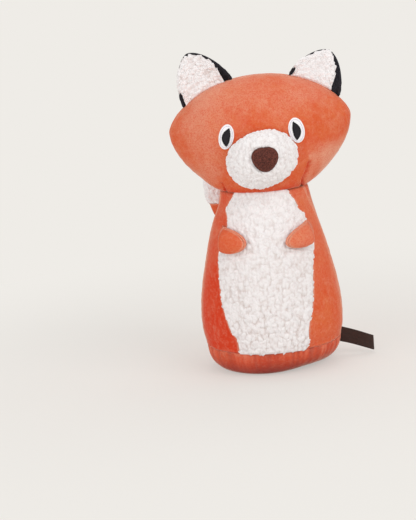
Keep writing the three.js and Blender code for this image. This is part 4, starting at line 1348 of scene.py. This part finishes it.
def off_the_base(points):
    """Lifts the low end of the body's filling clear of the worn edge of the base."""
    low = 1 - ease((points[..., 2:] - 2) / 28)
    return points * (1 - 0.1 * low) + low * (0, 0, 6)


def fillings():
    """The fibre of body, neck, head and muzzle."""
    filling("body_stuffing", "torso", 101, off_the_base)
    filling("neck_stuffing", "neck", 111)
    filling("head_stuffing", "head", 121, settled)
    filling("muzzle_filling", "head", 131, lambda places: settled(places + (MUZZLE_ASIDE, 0, 0)))


def squeaker():
    """The squeaker is seen as its solids are, in plastic."""
    for name in ("squeaker_bladder", "squeaker_reed"):
        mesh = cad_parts[name].data
        mesh.materials.clear()
        mesh.materials.append(MATERIALS["squeaker_plastic"])


# Floor, light and camera

def floor():
    """A pale floor that catches the shadow near the fox and goes over into the backdrop further out."""
    bpy.ops.object.select_all(action="DESELECT")
    bpy.ops.mesh.primitive_plane_add(size=12)
    plane = bpy.context.active_object
    plane.name = "floor"
    pale = Recipe("pale_floor", Roughness=0.9, Specular_IOR_Level=0.1)
    grain = pale.noise(0.002, 2)
    pale.feed("Base Color", pale.blend((0.8, 0.78, 0.75), (0.84, 0.82, 0.79), grain))
    glow = pale.node("ShaderNodeEmission", {}, {"Color": BACKDROP, "Strength": 1.0})
    camera_ray, gloss_ray, glass_ray = (
        pale.node("ShaderNodeLightPath", {}, {}, f"Is {kind} Ray")
        for kind in ("Camera", "Glossy", "Transmission"))
    away = pale.node("ShaderNodeVectorMath", {"operation": "LENGTH"}, {0: pale.place}, "Value")
    far = pale.node("ShaderNodeMapRange", {"interpolation_type": "SMOOTHSTEP"}, {
        "Value": away, "From Min": 0.12, "From Max": 0.5, "To Min": 0.5, "To Max": 1.0})
    glows = (camera_ray + gloss_ray + glass_ray) * far
    both = pale.node("ShaderNodeMixShader", {}, {0: glows, 1: pale.surface, 2: glow})
    pale.tree.links.new(both.socket, pale.tree.nodes["Material Output"].inputs["Surface"])
    plane.data.materials.append(pale.material)


def backdrop():
    """Soft light all round, and the plain backdrop where the camera looks past the floor."""
    world = bpy.data.worlds.new("studio")
    bpy.context.scene.world = world
    world.use_nodes = True
    nodes, links = world.node_tree.nodes, world.node_tree.links
    soft = nodes["Background"]
    soft.inputs["Color"].default_value = (1, 0.98, 0.96, 1)
    soft.inputs["Strength"].default_value = 0.6
    plain = nodes.new("ShaderNodeBackground")
    plain.inputs["Color"].default_value = (*BACKDROP, 1)
    path = nodes.new("ShaderNodeLightPath")
    either = nodes.new("ShaderNodeMixShader")
    links.new(path.outputs["Is Camera Ray"], either.inputs[0])
    links.new(soft.outputs[0], either.inputs[1])
    links.new(plain.outputs[0], either.inputs[2])
    links.new(either.outputs[0], nodes["World Output"].inputs["Surface"])


def softbox(name, place, size, power):
    """A square lamp that looks at the fox's chest."""
    lamp = bpy.data.lights.new(name, "AREA")
    lamp.shape = "RECTANGLE"
    lamp.size = lamp.size_y = size
    lamp.energy = power
    holder = added(name, lamp)
    holder.location = place
    aim = Vector((0, 0, CHEST_HEIGHT)) - Vector(place)
    holder.rotation_euler = aim.to_track_quat("-Z", "Y").to_euler()


def studio():
    """A pale floor, soft light all round and three lamps."""
    floor()
    backdrop()
    softbox("key", (0.92, -0.92, 0.86), 1.0, 8.0)
    softbox("fill", (-1.2, -0.98, 0.62), 1.2, 7.6)
    softbox("top", (0.1, 0.5, 1.3), 0.8, 3)


def camera():
    """Looks down on the chest a little, rolled and off centre as the picture was taken."""
    lens = bpy.data.cameras.new("camera")
    eye = added("camera", lens)
    back = Vector((0, -math.cos(CAMERA_RISE), math.sin(CAMERA_RISE)))
    eye.location = Vector((0, 0, CHEST_HEIGHT)) + back * CAMERA_DISTANCE
    focal = CAMERA_DISTANCE / PIXEL
    lens.sensor_width = 36
    lens.lens = focal / FRAME_HEIGHT * lens.sensor_width
    right, down = CHEST_PIXEL[0] - FRAME_WIDTH / 2, CHEST_PIXEL[1] - FRAME_HEIGHT / 2
    aim = Vector((right / focal, -down / focal, -1))
    straight = (-back).to_track_quat("-Z", "Y")
    roll = Matrix.Rotation(-CAMERA_ROLL, 4, "Z").to_quaternion()
    offset = aim.rotation_difference(Vector((0, 0, -1)))
    eye.rotation_mode = "QUATERNION"
    eye.rotation_quaternion = straight @ roll @ offset
    bpy.context.scene.camera = eye


studio()
camera()
torso()
head_panel("head_front_panel", 1, 21)
head_panel("head_back_panel", -1, 22)
muzzle()
face()
for side in SIDES:
    ear(side)
    paw(side)
tail()
label()
fillings()
squeaker()

bpy.context.scene.view_settings.view_transform = "Standard"
